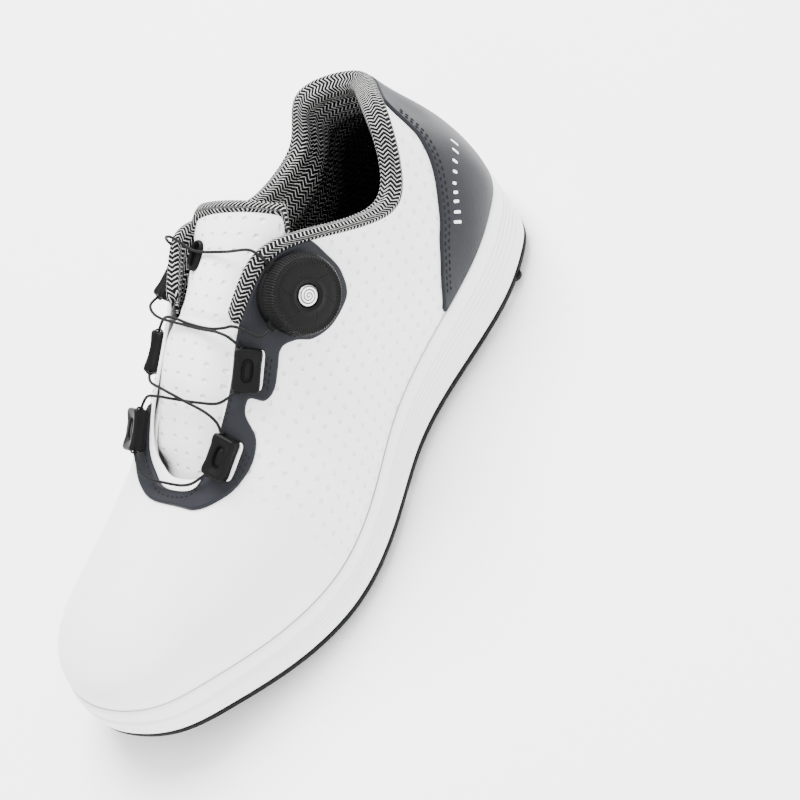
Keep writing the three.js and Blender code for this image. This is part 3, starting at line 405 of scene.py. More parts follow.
def speckle_group():
    """Fine pebbled grain: smooth cells of the given size in metres, broken by noise. Puts out a height
    from 0 to 1 and a slow mottle."""
    group, entry, exit_ = group_of(
        "fine_grain",
        [("Vector", "NodeSocketVector", None), ("Size", "NodeSocketFloat", 0.001)],
        [("Height", "NodeSocketFloat"), ("Mottle", "NodeSocketFloat")],
    )
    scale = math_of(group, "DIVIDE", 1.0, entry.outputs["Size"])
    cells = add_node(
        group, "ShaderNodeTexVoronoi", feature="SMOOTH_F1", Vector=entry.outputs["Vector"], Scale=scale,
        Smoothness=0.6, Randomness=1.0,
    )
    fine = math_of(group, "MULTIPLY", scale, 0.35)
    noise = add_node(
        group, "ShaderNodeTexNoise", Vector=entry.outputs["Vector"], Scale=fine, Detail=3.0, Roughness=0.6,
    )
    height = add_node(
        group, "ShaderNodeMath", operation="MULTIPLY_ADD", in0=noise.outputs[0], in1=0.6, in2=0.0,
    )
    group.links.new(cells.outputs["Distance"], height.inputs[2])
    slow = add_node(group, "ShaderNodeTexNoise", Vector=entry.outputs["Vector"], Scale=28.0, Detail=2.0)
    group.links.new(height.outputs[0], exit_.inputs["Height"])
    group.links.new(slow.outputs[0], exit_.inputs["Mottle"])
    return group


FINE_GRAIN = speckle_group()


def grained(finish, size, distance, dark, light, rough_low, rough_high):
    """Gives a finish its grain bump, and a slow variation of colour and roughness."""
    grain = finish.node("ShaderNodeGroup", node_tree=FINE_GRAIN)
    finish.tree.links.new(finish.solid_place(), grain.inputs["Vector"])
    grain.inputs["Size"].default_value = size
    finish.bump(grain.outputs["Height"], distance)
    finish.feed("Base Color", finish.blend(grain.outputs["Mottle"], dark, light))
    rough = finish.ramp(grain.outputs["Mottle"], 0.3, 0.7, rough_low, rough_high)
    finish.feed("Roughness", rough)
    return grain


sole_rubber = Finish("outsole_rubber", (0.006, 0.006, 0.0065), 0.6, Specular_IOR_Level=0.1)
grained(sole_rubber, 0.0016, 0.00022, (0.004, 0.004, 0.0045), (0.007, 0.007, 0.0075), 0.5, 0.7)

SECTIONS_PER_RIB = 14
ring_u = (np.arange(RIB_COUNT * SECTIONS_PER_RIB) + 0.5) / (RIB_COUNT * SECTIONS_PER_RIB)


def sole_stack(levels):
    """Rings of the sole's outline, one for each (inset, height_at) level."""
    return np.stack(
        [sole_outline(ring_u, np.full_like(ring_u, inset), height_at) for inset, height_at in levels]
    )


outsole_sheet = loft(sole_stack([
    (1.0, lambda x: midsole_base(x) - GAP),
    (0.55, lambda x: midsole_base(x) - GAP - 0.25),
    (0.4, lambda x: midsole_base(x) - GAP - 0.9),
    (0.45, lambda x: outsole_face(x) + 0.7),
    (0.7, lambda x: outsole_face(x) + 0.2),
    (1.2, outsole_face),
    (2.4, outsole_face),
    (2.9, lambda x: outsole_face(x) + 0.5),
    (3.6, lambda x: outsole_face(x) + 0.5),
]))

CLEATS = {
    "cleat_forefoot_medial": (226.0, -27.8, 45.0),
    "cleat_forefoot_lateral": (231.0, 22.0, 45.0),
    "cleat_midfoot_medial": (164.0, -14.5, 48.0),
    "cleat_midfoot_lateral": (164.0, 33.0, 48.0),
    "cleat_heel_lateral": (61.0, 25.6, 42.0),
    "cleat_heel_medial": (54.0, -17.6, 42.0),
}
CLEAT_ARM = 14.4
RIB_ROUTE = np.array([
    [283, 4], [272, -3], [257, -9], [237, -11], [216, -9], [190, -2], [164, 5.5],
    [138, 11], [112, 12.7], [88, 10.8], [68, 5.8], [55, 1.5], [47.5, -1.3],
], dtype=float)
WINDOW_PLACE, WINDOW_LENGTH, WINDOW_WIDTH = (116.7, -10.4), 36.5, 10.4
EDGE_BARS = [(266, 22, 20, 125), (252, -41, 20, 85), (195, -38, 21, 96), (34, -31, 14, 50), (44, 34, 11, 105)]
BAR_WIDTH = 6.4
LUG_PITCH = 12.4


def smooth_line(points, count):
    """Points evenly spaced along a smooth curve through the given ones: a centripetal Catmull-Rom
    curve, sampled finely and then by its length."""
    points = np.asarray(points, dtype=float)
    ends = np.concatenate([[2 * points[0] - points[1]], points, [2 * points[-1] - points[-2]]])
    p0, p1, p2, p3 = ends[:-3], ends[1:-2], ends[2:-1], ends[3:]
    d0, d1, d2 = (
        np.linalg.norm(b - a, axis=1, keepdims=True) ** 0.5
        for a, b in ((p0, p1), (p1, p2), (p2, p3))
    )
    t1 = ((p1 - p0) / d0 - (p2 - p0) / (d0 + d1) + (p2 - p1) / d1) * d1
    t2 = ((p2 - p1) / d1 - (p3 - p1) / (d1 + d2) + (p3 - p2) / d2) * d1
    t = np.linspace(0, 1, 24, endpoint=False)[None, :, None]
    curve = (
        p1[:, None] + t1[:, None] * t
        + (-3 * p1 + 3 * p2 - 2 * t1 - t2)[:, None] * t**2
        + (2 * p1 - 2 * p2 + t1 + t2)[:, None] * t**3
    ).reshape(-1, points.shape[1])
    return evenly(np.concatenate([curve, points[-1:]]), count)


def evenly(line, count):
    """The same line with count points at equal steps of its length."""
    reach = np.concatenate([[0], np.cumsum(np.linalg.norm(np.diff(line, axis=0), axis=1))])
    steps = np.linspace(0, reach[-1], count)
    return np.stack([np.interp(steps, reach, line[:, c]) for c in range(line.shape[1])], axis=-1)


def lug_places():
    """Centres of the honeycomb that fall inside the sole's edge and clear of cleats, rib, window and bars."""
    row_step = LUG_PITCH * math.sin(math.pi / 3)
    row, column = np.meshgrid(np.arange(int(SOLE_LENGTH / row_step) + 1), np.arange(-5, 6), indexing="ij")
    places = np.stack([8 + row * row_step, (column + (row % 2) / 2) * LUG_PITCH], axis=-1).reshape(-1, 2)
    foot = 4.6
    taken = [((x, y), CLEAT_ARM + foot) for x, y, _ in CLEATS.values()]
    taken += [(tuple(p), 3.7 + foot + 0.8) for p in smooth_line(RIB_ROUTE, 61)]
    taken += [((WINDOW_PLACE[0] + d, WINDOW_PLACE[1]), 11.0) for d in np.linspace(-13, 13, 5)]
    taken += [((x, y), 12.0) for x, y, _, _ in EDGE_BARS]
    centres = np.array([c for c, _ in taken])
    reaches = np.array([r for _, r in taken])
    free = np.all(np.linalg.norm(places[:, None] - centres[None], axis=-1) > reaches, axis=1)
    edge, _, _ = sole_edge(ring_u)
    ahead = np.roll(edge, -1, axis=0)
    x, y = places[:, :1], places[:, 1:]
    crossing = (edge[:, 1] > y) != (ahead[:, 1] > y)
    side = x < (ahead[:, 0] - edge[:, 0]) * (y - edge[:, 1]) / (ahead[:, 1] - edge[:, 1] + 1e-9) + edge[:, 0]
    inside = np.sum(crossing & side, axis=1) % 2 == 1
    near = np.min(np.linalg.norm(places[:, None] - edge[None], axis=-1), axis=1)
    return places[free & inside & (near > 6.6)]


def copies(ring_stack, places, heights):
    """One stack of rings repeated at many places, each lifted by its own height, as one skin."""
    single = loft(ring_stack, ends="fan")
    count = len(single["vertices"])
    shift = np.concatenate([places, heights[:, None]], axis=1)
    vertices = (single["vertices"][None] + shift[:, None]).reshape(-1, 3)
    steps = np.arange(len(places))[:, None, None] * count
    return {
        "vertices": vertices,
        "quads": (single["quads"][None] + steps).reshape(-1, 4),
        "triangles": (single["triangles"][None] + steps).reshape(-1, 3),
        "place": None,
        "look": 0,
    }


def hexagon(radius, height, turn=0.0):
    """A ring of six corners with three points on each side."""
    angle = turn + np.arange(6) * math.pi / 3
    corners = radius * np.stack([np.cos(angle), np.sin(angle)], axis=-1)
    thirds = np.linspace(0, 1, 3, endpoint=False)[None, :, None]
    ring = (corners[:, None] * (1 - thirds) + np.roll(corners, -1, axis=0)[:, None] * thirds).reshape(-1, 2)
    return np.concatenate([ring, np.full((len(ring), 1), height)], axis=1)


lug_rings = np.stack([
    hexagon(4.9, 0.6), hexagon(4.7, -0.2), hexagon(4.1, -1.2), hexagon(3.7, -2.7), hexagon(3.4, -3.2),
    hexagon(2.3, -3.2), hexagon(2.0, -2.4), hexagon(0.9, -2.4), hexagon(0.7, -3.0),
])
lug_centres = lug_places()
lugs = copies(lug_rings, lug_centres, outsole_face(lug_centres[:, 0]))


def stadium(length, width, count=48):
    """A flat ring with two straight sides and two round ends, lying along x."""
    angle = np.arange(count) * 2 * math.pi / count + math.pi / count
    half = (length - width) / 2
    return np.stack(
        [np.cos(angle) * width / 2 + np.sign(np.cos(angle)) * half, np.sin(angle) * width / 2], axis=-1
    )


def turned_by(points, degrees):
    """Points in a plane turned about the origin."""
    angle = math.radians(degrees)
    x, y = points[..., 0], points[..., 1]
    return np.stack(
        [x * math.cos(angle) - y * math.sin(angle), x * math.sin(angle) + y * math.cos(angle)], axis=-1
    )


def edge_bar(x, y, length, degrees):
    """A raised rim round a sunk floor: stadium rings from the foot up over the rim and into the floor."""
    levels = [(0, 1.0), (0, -0.6), (0.5, -1.2), (1.2, -1.2), (1.6, -0.7), (1.9, 0.1), (2.6, 0.1)]
    rings = []
    for inset, height in levels:
        flat = turned_by(stadium(length - 2 * inset, BAR_WIDTH - 2 * inset), degrees)
        rings.append(
            np.concatenate([flat + (x, y), np.full((len(flat), 1), outsole_face(x) + height)], axis=1)
        )
    return loft(np.stack(rings), ends="fan")


outsole = make_piece(
    "outsole_rubber_sheet",
    [outsole_sheet, lugs, *[edge_bar(*bar) for bar in EDGE_BARS]],
    [sole_rubber.material], "shoe", "sole_rubber", "outsole", sharp=30,
)

# ---------------------------------------------------------------- cleats, rib and arch window
# Hard white plastic mouldings: six four-armed cleats bonded to the rubber, an S-shaped rib down the
# middle of the sole and the oval window that shows the arch.
hard_white = Finish("cleat_plastic", (0.86, 0.86, 0.87), 0.32, Coat_Weight=0.15, Coat_Roughness=0.25)
grained(hard_white, 0.0009, 0.00003, (0.80, 0.80, 0.81), (0.88, 0.88, 0.89), 0.28, 0.4)


def cleat_outline(angle):
    """Distance of the edge from the cleat's centre: four blunt arms joined by rounded valleys. It is
    the smooth larger of the four arms' rounded boxes."""
    reach = np.zeros_like(angle)
    for arm in range(4):
        turn = angle - arm * math.pi / 2
        along, across = np.cos(turn), np.abs(np.sin(turn))
        tip = CLEAT_ARM / np.maximum(along, 1e-3)
        flank = 3.9 / np.maximum(across, 1e-3)
        box = (np.maximum(tip, 1e-3) ** -9.0 + flank**-9.0) ** (-1 / 9.0)
        reach = np.maximum(reach, np.where(along > 0, box, 0))
    valley = 6.6
    return (reach**6 + valley**6) ** (1 / 6)


def cleat_part(x, y, degrees):
    """Polar rings from the foot up the side, over the edge and in to the centre. The face carries a
    round boss, a hollow on each arm and a raised square pad at each tip."""
    angle = np.arange(240) * 2 * math.pi / 240
    edge = np.minimum(cleat_outline(angle), 15.2)
    top = float(outsole_face(x - CLEAT_ARM)) - GAP
    lift = float(spring_at(x))
    fractions = np.concatenate([[0.97, 1.0, 1.0, 0.985], np.linspace(0.96, 0.03, 40)])
    radius = edge[None] * fractions[:, None]
    px, py = radius * np.cos(angle), radius * np.sin(angle)
    arm_along = np.maximum(np.abs(px), np.abs(py))
    arm_across = np.minimum(np.abs(px), np.abs(py))
    centre_distance = np.hypot(px, py)
    pad = (1 - ease(np.maximum(np.abs(arm_along - 11.2), arm_across), 2.5, 3.0)) * 1.0
    pad_ring = ease(np.hypot(arm_along - 11.2, arm_across), 0.7, 1.0)
    boss = (1 - ease(centre_distance, 3.6, 4.3)) * 0.6 - 0.35 * (1 - ease(centre_distance, 1.6, 2.2))
    hollow = -0.5 * np.exp(-(((arm_along - 7.0) / 1.8) ** 2) - (arm_across / 2.2) ** 2)
    face = lift + 1.15 - pad * (1.15 - 0.15 * pad_ring) - boss - hollow + 0.25 * ease(
        centre_distance / edge, 0.9, 1.0,
    )
    height = np.where(np.arange(len(fractions))[:, None] < 4, 0, face)
    height[0], height[1], height[2], height[3] = top, top - 0.1, lift + 1.9, lift + 1.5
    flat = turned_by(np.stack([px, py], axis=-1), degrees) + (x, y)
    return loft(np.concatenate([flat, height[..., None]], axis=-1), ends="fan")


for cleat_name, cleat_place in CLEATS.items():
    make_piece(
        cleat_name + "_moulding", [cleat_part(*cleat_place)], [hard_white.material], "shoe", "cleat_white",
        cleat_name, sharp=38,
    )


def sole_rib_part():
    """A half-round bar carried along the S-shaped route, tapered to blunt round ends."""
    route = smooth_line(RIB_ROUTE, 140)
    tangent = np.gradient(route, axis=0)
    tangent /= np.linalg.norm(tangent, axis=1, keepdims=True)
    side = np.stack([-tangent[:, 1], tangent[:, 0]], axis=-1)
    place = np.linspace(0, 1, len(route))
    reach = np.minimum(place, 1 - place) * 2 * 120
    taper = np.sqrt(np.clip(1 - (1 - np.clip(reach / 3.7, 0, 1)) ** 2, 0.02, 1))
    across = np.array([-3.7, -3.7, -3.3, -2.4, -0.9, 0.9, 2.4, 3.3, 3.7, 3.7])
    down = np.array([0.0, 1.2, 1.9, 2.3, 2.4, 2.4, 2.3, 1.9, 1.2, 0.0])
    flat = route[:, None] + side[:, None] * (across[None] * taper[:, None])[..., None]
    top = outsole_face(route[:, 0]) - 1.6 * GAP
    height = top[:, None] - down[None] * (0.35 + 0.65 * taper[:, None])
    return loft(np.concatenate([flat, height[..., None]], axis=-1))


make_piece(
    "sole_rib_moulding",
    [sole_rib_part()],
    [hard_white.material],
    "shoe",
    "cleat_white",
    "sole_rib",
    sharp=50,
)


def window_part():
    """Stadium rings: a shallow domed lens with a rounded rim, let into the rubber."""
    face = float(outsole_face(WINDOW_PLACE[0]))
    levels = [
        (0.0, 2.0), (0.0, 0.1), (0.35, -0.35), (1.0, -0.35), (1.5, 0.1), (2.4, 0.0), (3.6, -0.1),
        (4.6, -0.15),
    ]
    rings = []
    for inset, height in levels:
        flat = stadium(WINDOW_LENGTH - 2 * inset, WINDOW_WIDTH - 2 * inset) + WINDOW_PLACE
        rings.append(np.concatenate([flat, np.full((len(flat), 1), face + height)], axis=1))
    return loft(np.stack(rings), ends="fan")


make_piece(
    "arch_window_lens",
    [window_part()],
    [hard_white.material],
    "shoe",
    "cleat_white",
    "arch_window",
    sharp=50,
)

# ---------------------------------------------------------------- foam midsole and what lies in it
# Injection-moulded white foam, wrapped up round the foot as a cup. Its wall has fine grooves that
# run round the shoe and close up towards the toe. The board and the shank plate are glued inside.
FEATHER_INSET = 2.8
CUP_LEAN = 3.2
FEATHER_LOW, FEATHER_LOW_X, FEATHER_HEEL_RISE, FEATHER_TOE_RISE = 24.3, 195.0, 15.2, 13.2


def feather_height(x):
    """Height of the line where the upper goes into the midsole: a cosine fall from the heel to the
    ball of the foot, and a parabola up to the toe."""
    heel = FEATHER_LOW + FEATHER_HEEL_RISE / 2 * (1 + np.cos(np.pi * (x + 1) / (FEATHER_LOW_X + 1)))
    toe = FEATHER_LOW + FEATHER_TOE_RISE * ((x - FEATHER_LOW_X) / (SOLE_LENGTH + 1 - FEATHER_LOW_X)) ** 2
    return np.where(x < FEATHER_LOW_X, heel, toe)


def cup_depth(x):
    """Depth of the cup below the feather line, 11 at the heel and 8 at the toe."""
    return 11.0 - 3.0 * ease(x, 60, 190)


def footbed(x):
    """Height of the cup's floor."""
    return feather_height(x) - cup_depth(x)


def midsole_part():
    """Rings up the wall, over the lip and down into the cup. Between the first and last groove the
    wall is a row of rounded ribs: depth times one less a small power of the sine between grooves."""
    edge, out, _ = sole_edge(ring_u)
    x = edge[:, 0]
    base, top = midsole_base(x), feather_height(x)
    closing = ease(x, 215, 292)
    grooves_heel = np.array([0.30, 0.42, 0.52, 0.61, 0.70])
    grooves_toe = np.array([0.47, 0.50, 0.525, 0.545, 0.56])
    place = grooves_heel[:, None] * (1 - closing) + grooves_toe[:, None] * closing
    depth = 0.95 * (1 - 0.7 * closing)
    levels, insets = [], []
    for share, inset in ((0.0, 1.3), (0.012, 0.7), (0.035, 0.3), (0.07, 0.08)):
        levels.append(share + 0 * x)
        insets.append(inset + 0 * x)
    for s in np.linspace(0.12, 1.0, 10)[:-1]:
        levels.append(0.07 + (place[0] - 0.07) * s)
        insets.append(0.05 + 0.35 * np.sin(np.pi * s) + 0.1 * s + depth * ease(s, 0.86, 1.0))
    for band in range(4):
        for s in np.linspace(0, 1, 10)[:-1]:
            levels.append(place[band] + (place[band + 1] - place[band]) * s)
            insets.append(0.15 + 0.15 * band + 0.15 * s + depth * (1 - np.abs(np.sin(np.pi * s)) ** 0.4))
    for s in np.linspace(0, 1, 12):
        levels.append(place[4] + (0.955 - place[4]) * s)
        insets.append(0.75 + 0.65 * s - 0.35 * np.sin(np.pi * s) ** 0.8 + depth * (1 - ease(s, 0.0, 0.14)))
    rings = []
    for level, inset in zip(levels, insets):
        flat = edge - out * inset[:, None]
        rings.append(np.concatenate([flat, (base + (top - base) * level)[:, None]], axis=1))
    for inset, drop in ((1.75, 0.45), (2.15, 0.12), (2.45, 0.15), (2.7, 0.7)):
        rings.append(np.concatenate([edge - out * inset, (top - drop)[:, None]], axis=1))
    floor = footbed(x)
    for inset, lift in ((5.6, 2.0), (6.4, 0.0)):
        moved = edge - out * inset
        rings.append(np.concatenate([moved, (floor + lift)[:, None]], axis=1))
    return loft(np.stack(rings))


midsole_foam = Finish("midsole_foam", (0.84, 0.84, 0.85), 0.5)
grained(midsole_foam, 0.0007, 0.00005, (0.80, 0.80, 0.81), (0.86, 0.86, 0.865), 0.42, 0.6)
make_piece(
    "midsole_foam_wall",
    [midsole_part()],
    [midsole_foam.material],
    "shoe",
    "midsole_foam",
    "midsole",
    sharp=60,
)

woven_board = Finish("lasting_board", (0.45, 0.38, 0.28), 0.9)
grained(woven_board, 0.0012, 0.0001, (0.40, 0.34, 0.25), (0.50, 0.43, 0.32), 0.85, 0.95)
shank_steel = Finish("shank_steel", (0.62, 0.62, 0.64), 0.3, metallic=1.0)
grained(shank_steel, 0.0006, 0.00002, (0.56, 0.56, 0.58), (0.66, 0.66, 0.68), 0.25, 0.4)


def carry_over(node, finish):
    """A CAD node whose shape is right keeps it and takes a finer material."""
    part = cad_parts[node]
    part.data.materials.clear()
    part.data.materials.append(finish.material)


carry_over("strobel_board", woven_board)
carry_over("shank_plate", shank_steel)

# ---------------------------------------------------------------- upper shell
# One piece of white coated microfibre, lasted over the foot and cemented into the midsole's cup.
# It has a fine leather grain, and rows of small pressed dimples that stop short of the toe.
UPPER_THICKNESS = 1.4


def upper_face(u, h):
    """The upper's outer face: a cubic curve from the feather line (h = 0) to the top edge (h = 1),
    with handles from the ribs. Below 0 it leans in and goes down inside the midsole's cup."""
    u, h = np.broadcast_arrays(np.asarray(u, dtype=float), np.asarray(h, dtype=float))
    edge, out, rib = sole_edge(u)
    foot = edge - out * FEATHER_INSET
    foot = np.concatenate([foot, feather_height(foot[..., 0])[..., None]], axis=-1)
    outward = np.concatenate([out, np.zeros_like(out[..., :1])], axis=-1)
    up = np.array([0.0, 0.0, 1.0])
    top = rib[..., 2:5]
    away = (foot - top) * (1, 1, 0)
    away /= np.linalg.norm(away, axis=-1, keepdims=True)
    low = foot + outward * rib[..., 5:6] + up * rib[..., 6:7]
    high = top + away * rib[..., 7:8] - up * rib[..., 8:9]
    t = np.clip(h, 0, 1)[..., None]
    wall = foot * (1 - t) ** 3 + 3 * low * t * (1 - t) ** 2 + 3 * high * t**2 * (1 - t) + top * t**3
    below = np.minimum(h, 0)[..., None]
    sunk = outward * CUP_LEAN * below + up * below * (cup_depth(foot[..., 0]) - 2)[..., None]
    return wall + sunk


def upper_normal(u, h):
    """Unit normal that points out of the upper, from small steps along both parameters."""
    step = 2e-3
    along = upper_face(u + step, h) - upper_face(u - step, h)
    rise = upper_face(u, np.minimum(h + step, 1)) - upper_face(u, np.maximum(h - step, -1))
    normal = np.cross(along, rise)
    return normal / np.linalg.norm(normal, axis=-1, keepdims=True)


NORMAL_SIGN = np.sign(upper_normal(np.array(0.25), np.array(0.3))[1])


def upper_at(u, h, depth):
    """A point of the upper, depth millimetres in from its outer face."""
    u, h, depth = np.broadcast_arrays(u, h, depth)
    return upper_face(u, h) - NORMAL_SIGN * upper_normal(u, h) * depth[..., None]


def surface_place(points, h):
    """Surface coordinates for patterns: along the shoe (x, leaning a little with height), up the
    wall from the feather line by its own length, and the height share h."""
    rise = np.linalg.norm(np.diff(points, axis=1), axis=-1)
    rise = np.concatenate([np.zeros_like(rise[:, :1]), np.cumsum(rise, axis=1)], axis=1)
    return np.stack([points[..., 0], rise, np.broadcast_to(h, rise.shape)], axis=-1)


def upper_part():
    """Rings across the wall: up the outer face, over the cut edge and down the inner face."""
    rising = np.concatenate([np.linspace(-1, 0, 7)[:-1], np.linspace(0, 0.995, 74), [1.0]])
    falling = np.concatenate([[1.0], np.linspace(0.99, 0, 24), np.linspace(0, -1, 5)[1:]])
    heights = np.concatenate([rising, falling])
    depths = np.concatenate(
        [np.zeros(len(rising) - 1), [0.35], [1.05], np.full(len(falling) - 1, UPPER_THICKNESS)]
    )
    u = ring_u[:, None]
    points = upper_at(u, heights[None], depths[None])
    return loft(points, along=True, place=surface_place(points, heights[None]))


def dimple_group():
    """Round dimples on a square lattice of the place coordinates. Puts out a height that is 0 on the
    face and -1 at the middle of each dimple."""
    group, entry, exit_ = group_of(
        "dimple_rows",
        [
            ("Vector", "NodeSocketVector", None),
            ("Pitch", "NodeSocketFloat", 6.4),
            ("Radius", "NodeSocketFloat", 1.2),
        ],
        [("Height", "NodeSocketFloat")],
    )
    split = add_node(group, "ShaderNodeSeparateXYZ", Vector=entry.outputs["Vector"])
    squares = []
    for axis in (0, 1):
        cells = math_of(group, "DIVIDE", split.outputs[axis], entry.outputs["Pitch"])
        part = math_of(group, "FRACT", cells)
        centred = math_of(group, "SUBTRACT", part, 0.5)
        scaled = math_of(group, "MULTIPLY", centred, entry.outputs["Pitch"])
        squares.append(add_node(group, "ShaderNodeMath", operation="MULTIPLY", in0=scaled, in1=scaled))
    total = math_of(group, "ADD", squares[0].outputs[0], squares[1].outputs[0])
    distance = math_of(group, "SQRT", total)
    dent = add_node(
        group, "ShaderNodeMapRange", interpolation_type="SMOOTHERSTEP", Value=distance,
        From_Min=0.1, To_Min=-1.0, To_Max=0.0,
    )
    group.links.new(entry.outputs["Radius"], dent.inputs["From Max"])
    group.links.new(dent.outputs[0], exit_.inputs["Height"])
    return group


DIMPLES = dimple_group()


def dimpled_leather(name, front, keep_top):
    """White grained microfibre with dimple rows behind x = front and below the share keep_top. The middle of
    each dimple is painted grey as shade.
    """
    leather = Finish(name, (0.84, 0.84, 0.845), 0.42, Coat_Weight=0.12, Coat_Roughness=0.4)
    grain = leather.node("ShaderNodeGroup", node_tree=FINE_GRAIN)
    leather.tree.links.new(leather.solid_place(), grain.inputs["Vector"])
    grain.inputs["Size"].default_value = 0.00085
    dimples = leather.node("ShaderNodeGroup", node_tree=DIMPLES)
    leather.tree.links.new(leather.place(), dimples.inputs["Vector"])
    dimples.inputs["Radius"].default_value = 1.4
    split = leather.node("ShaderNodeSeparateXYZ", Vector=leather.place())
    behind = leather.ramp(split.outputs[0], front - 3, front, 1.0, 0.0)
    below = leather.ramp(split.outputs[2], keep_top - 0.03, keep_top, 1.0, 0.0)
    where = leather.math("MULTIPLY", behind, below)
    dent = leather.math("MULTIPLY", dimples.outputs[0], where)
    deep = leather.math("MULTIPLY_ADD", dent, 9.0, grain.outputs["Height"])
    leather.bump(deep, 0.00007)
    colour = leather.blend(grain.outputs["Mottle"], (0.80, 0.80, 0.81), (0.86, 0.86, 0.865))
    # Painted shade: the base colour is blended towards grey in the middle of each dimple.
    shade = leather.math("MULTIPLY", dent, -0.16)
    leather.feed("Base Color", leather.blend(shade, colour, (0.55, 0.55, 0.56)))
    rough = leather.ramp(grain.outputs["Height"], 0.2, 1.0, 0.36, 0.5)
    leather.feed("Roughness", rough)
    return leather


upper_leather = dimpled_leather("upper_microfibre", 203.0, 0.97)
make_piece(
    "upper_microfibre_shell",
    [upper_part()],
    [upper_leather.material],
    "shoe",
    "upper_white",
    "upper_shell",
    sharp=70,
)

stiff_sheet = Finish("stiffener_sheet", (0.70, 0.66, 0.58), 0.7)
grained(stiff_sheet, 0.0014, 0.0001, (0.64, 0.60, 0.52), (0.74, 0.70, 0.62), 0.6, 0.8)
for node in ("toe_puff", "heel_counter"):
    carry_over(node, stiff_sheet)
open_foam = Finish("padding_foam", (0.80, 0.80, 0.78), 0.95)
grained(open_foam, 0.0016, 0.0003, (0.72, 0.72, 0.70), (0.86, 0.86, 0.84), 0.9, 1.0)
for node in ("vamp_lining", "collar_foam", "tongue_foam"):
    carry_over(node, open_foam)

# ---------------------------------------------------------------- padded collar
# Black and white herringbone knit, rolled over the collar's edge as a binding and continued down
# inside over the collar foam. Deeper in the shoe its pale yarn fades to black: painted shade.
LINING_OUT, LINING_THICKNESS, COLLAR_PADDING = 3.15, 1.0, 3.6
COLLAR_FROM, COLLAR_TO = 6.25, 22.0


def lining_depth(u, h):
    """Depth of the lining's outer face: it stands off the upper where the collar is padded."""
    rib = np.asarray(u) * RIB_COUNT
    padded = ease(rib, 8.2, 10.2) * (1 - ease(rib, 18, 20.4)) * ease(h, 0.58, 0.74)
    return LINING_OUT + COLLAR_PADDING * padded


def length_along(points):
    """Distance run along a line of points from its first one."""
    return np.concatenate([[0], np.cumsum(np.linalg.norm(np.diff(points, axis=0), axis=1))])


def herringbone_group():
    """Zigzag yarns: stripes whose phase is the length along the edge plus a triangle wave of the
    distance across it. Puts out a mask that is 1 on the pale yarn, and a rounded yarn height."""
    group, entry, exit_ = group_of(
        "herringbone_knit",
        [
            ("Vector", "NodeSocketVector", None), ("Pitch", "NodeSocketFloat", 2.3),
            ("Period", "NodeSocketFloat", 5.5),
            ("Reach", "NodeSocketFloat", 1.9),
            ("Pale_Share", "NodeSocketFloat", 0.26),
        ],
        [("Mask", "NodeSocketFloat"), ("Height", "NodeSocketFloat")],
    )
    wobble = add_node(group, "ShaderNodeTexNoise", Vector=entry.outputs["Vector"], Scale=0.9, Detail=2.0)
    split = add_node(group, "ShaderNodeSeparateXYZ", Vector=entry.outputs["Vector"])
    turns = math_of(group, "DIVIDE", split.outputs[1], entry.outputs["Period"])
    part = math_of(group, "FRACT", turns)
    centred = math_of(group, "SUBTRACT", part, 0.5)
    folded = math_of(group, "ABSOLUTE", centred)
    zigzag = math_of(group, "MULTIPLY", folded, entry.outputs["Reach"])
    doubled = math_of(group, "MULTIPLY", zigzag, 4.0)
    along = add_node(group, "ShaderNodeMath", operation="ADD", in0=split.outputs[0], in1=doubled)
    shaken = math_of(group, "MULTIPLY_ADD", wobble.outputs[0], 0.7, along.outputs[0])
    phase = add_node(group, "ShaderNodeMath", operation="DIVIDE", in0=shaken, in1=entry.outputs["Pitch"])
    stripe = math_of(group, "FRACT", phase.outputs[0])
    middle = math_of(group, "SUBTRACT", stripe, 0.5)
    off = math_of(group, "ABSOLUTE", middle)
    half = math_of(group, "MULTIPLY", entry.outputs["Pale_Share"], 0.5)
    over = math_of(group, "SUBTRACT", half, off)
    mask = add_node(group, "ShaderNodeMapRange", Value=over, From_Min=-0.05, From_Max=0.05)
    turned = math_of(group, "MULTIPLY", phase.outputs[0], 4 * math.pi)
    wave = add_node(group, "ShaderNodeMath", operation="COSINE", in0=turned)
    group.links.new(mask.outputs[0], exit_.inputs["Mask"])
    group.links.new(wave.outputs[0], exit_.inputs["Height"])
    return group


HERRINGBONE = herringbone_group()


def knit_finish(name, fade_from, fade_to, pitch=2.3, period=5.5, reach=1.0):
    """Herringbone knit whose pale yarn fades to black between two distances along the piece's second place
    coordinate: painted shade where the knit goes into the shoe.
    """
    knit = Finish(name, (0.3, 0.3, 0.3), 0.9, Specular_IOR_Level=0.1)
    weave = knit.node("ShaderNodeGroup", node_tree=HERRINGBONE)
    knit.tree.links.new(knit.place(), weave.inputs["Vector"])
    for socket, value in (("Pitch", pitch), ("Period", period), ("Reach", reach)):
        weave.inputs[socket].default_value = value
    split = knit.node("ShaderNodeSeparateXYZ", Vector=knit.place())
    # Painted shade: the pale yarn is darkened towards black between fade_from and fade_to.
    painted_shade_fade = knit.ramp(split.outputs[1], fade_from, fade_to, 1.0, 0.03)
    pale = knit.node("ShaderNodeMath", operation="MULTIPLY", in0=weave.outputs["Mask"], in1=painted_shade_fade)
    knit.feed("Base Color", knit.blend(pale.outputs[0], (0.004, 0.004, 0.0045), (0.62, 0.62, 0.61)))
    knit.bump(weave.outputs["Height"], 0.00025)
    return knit


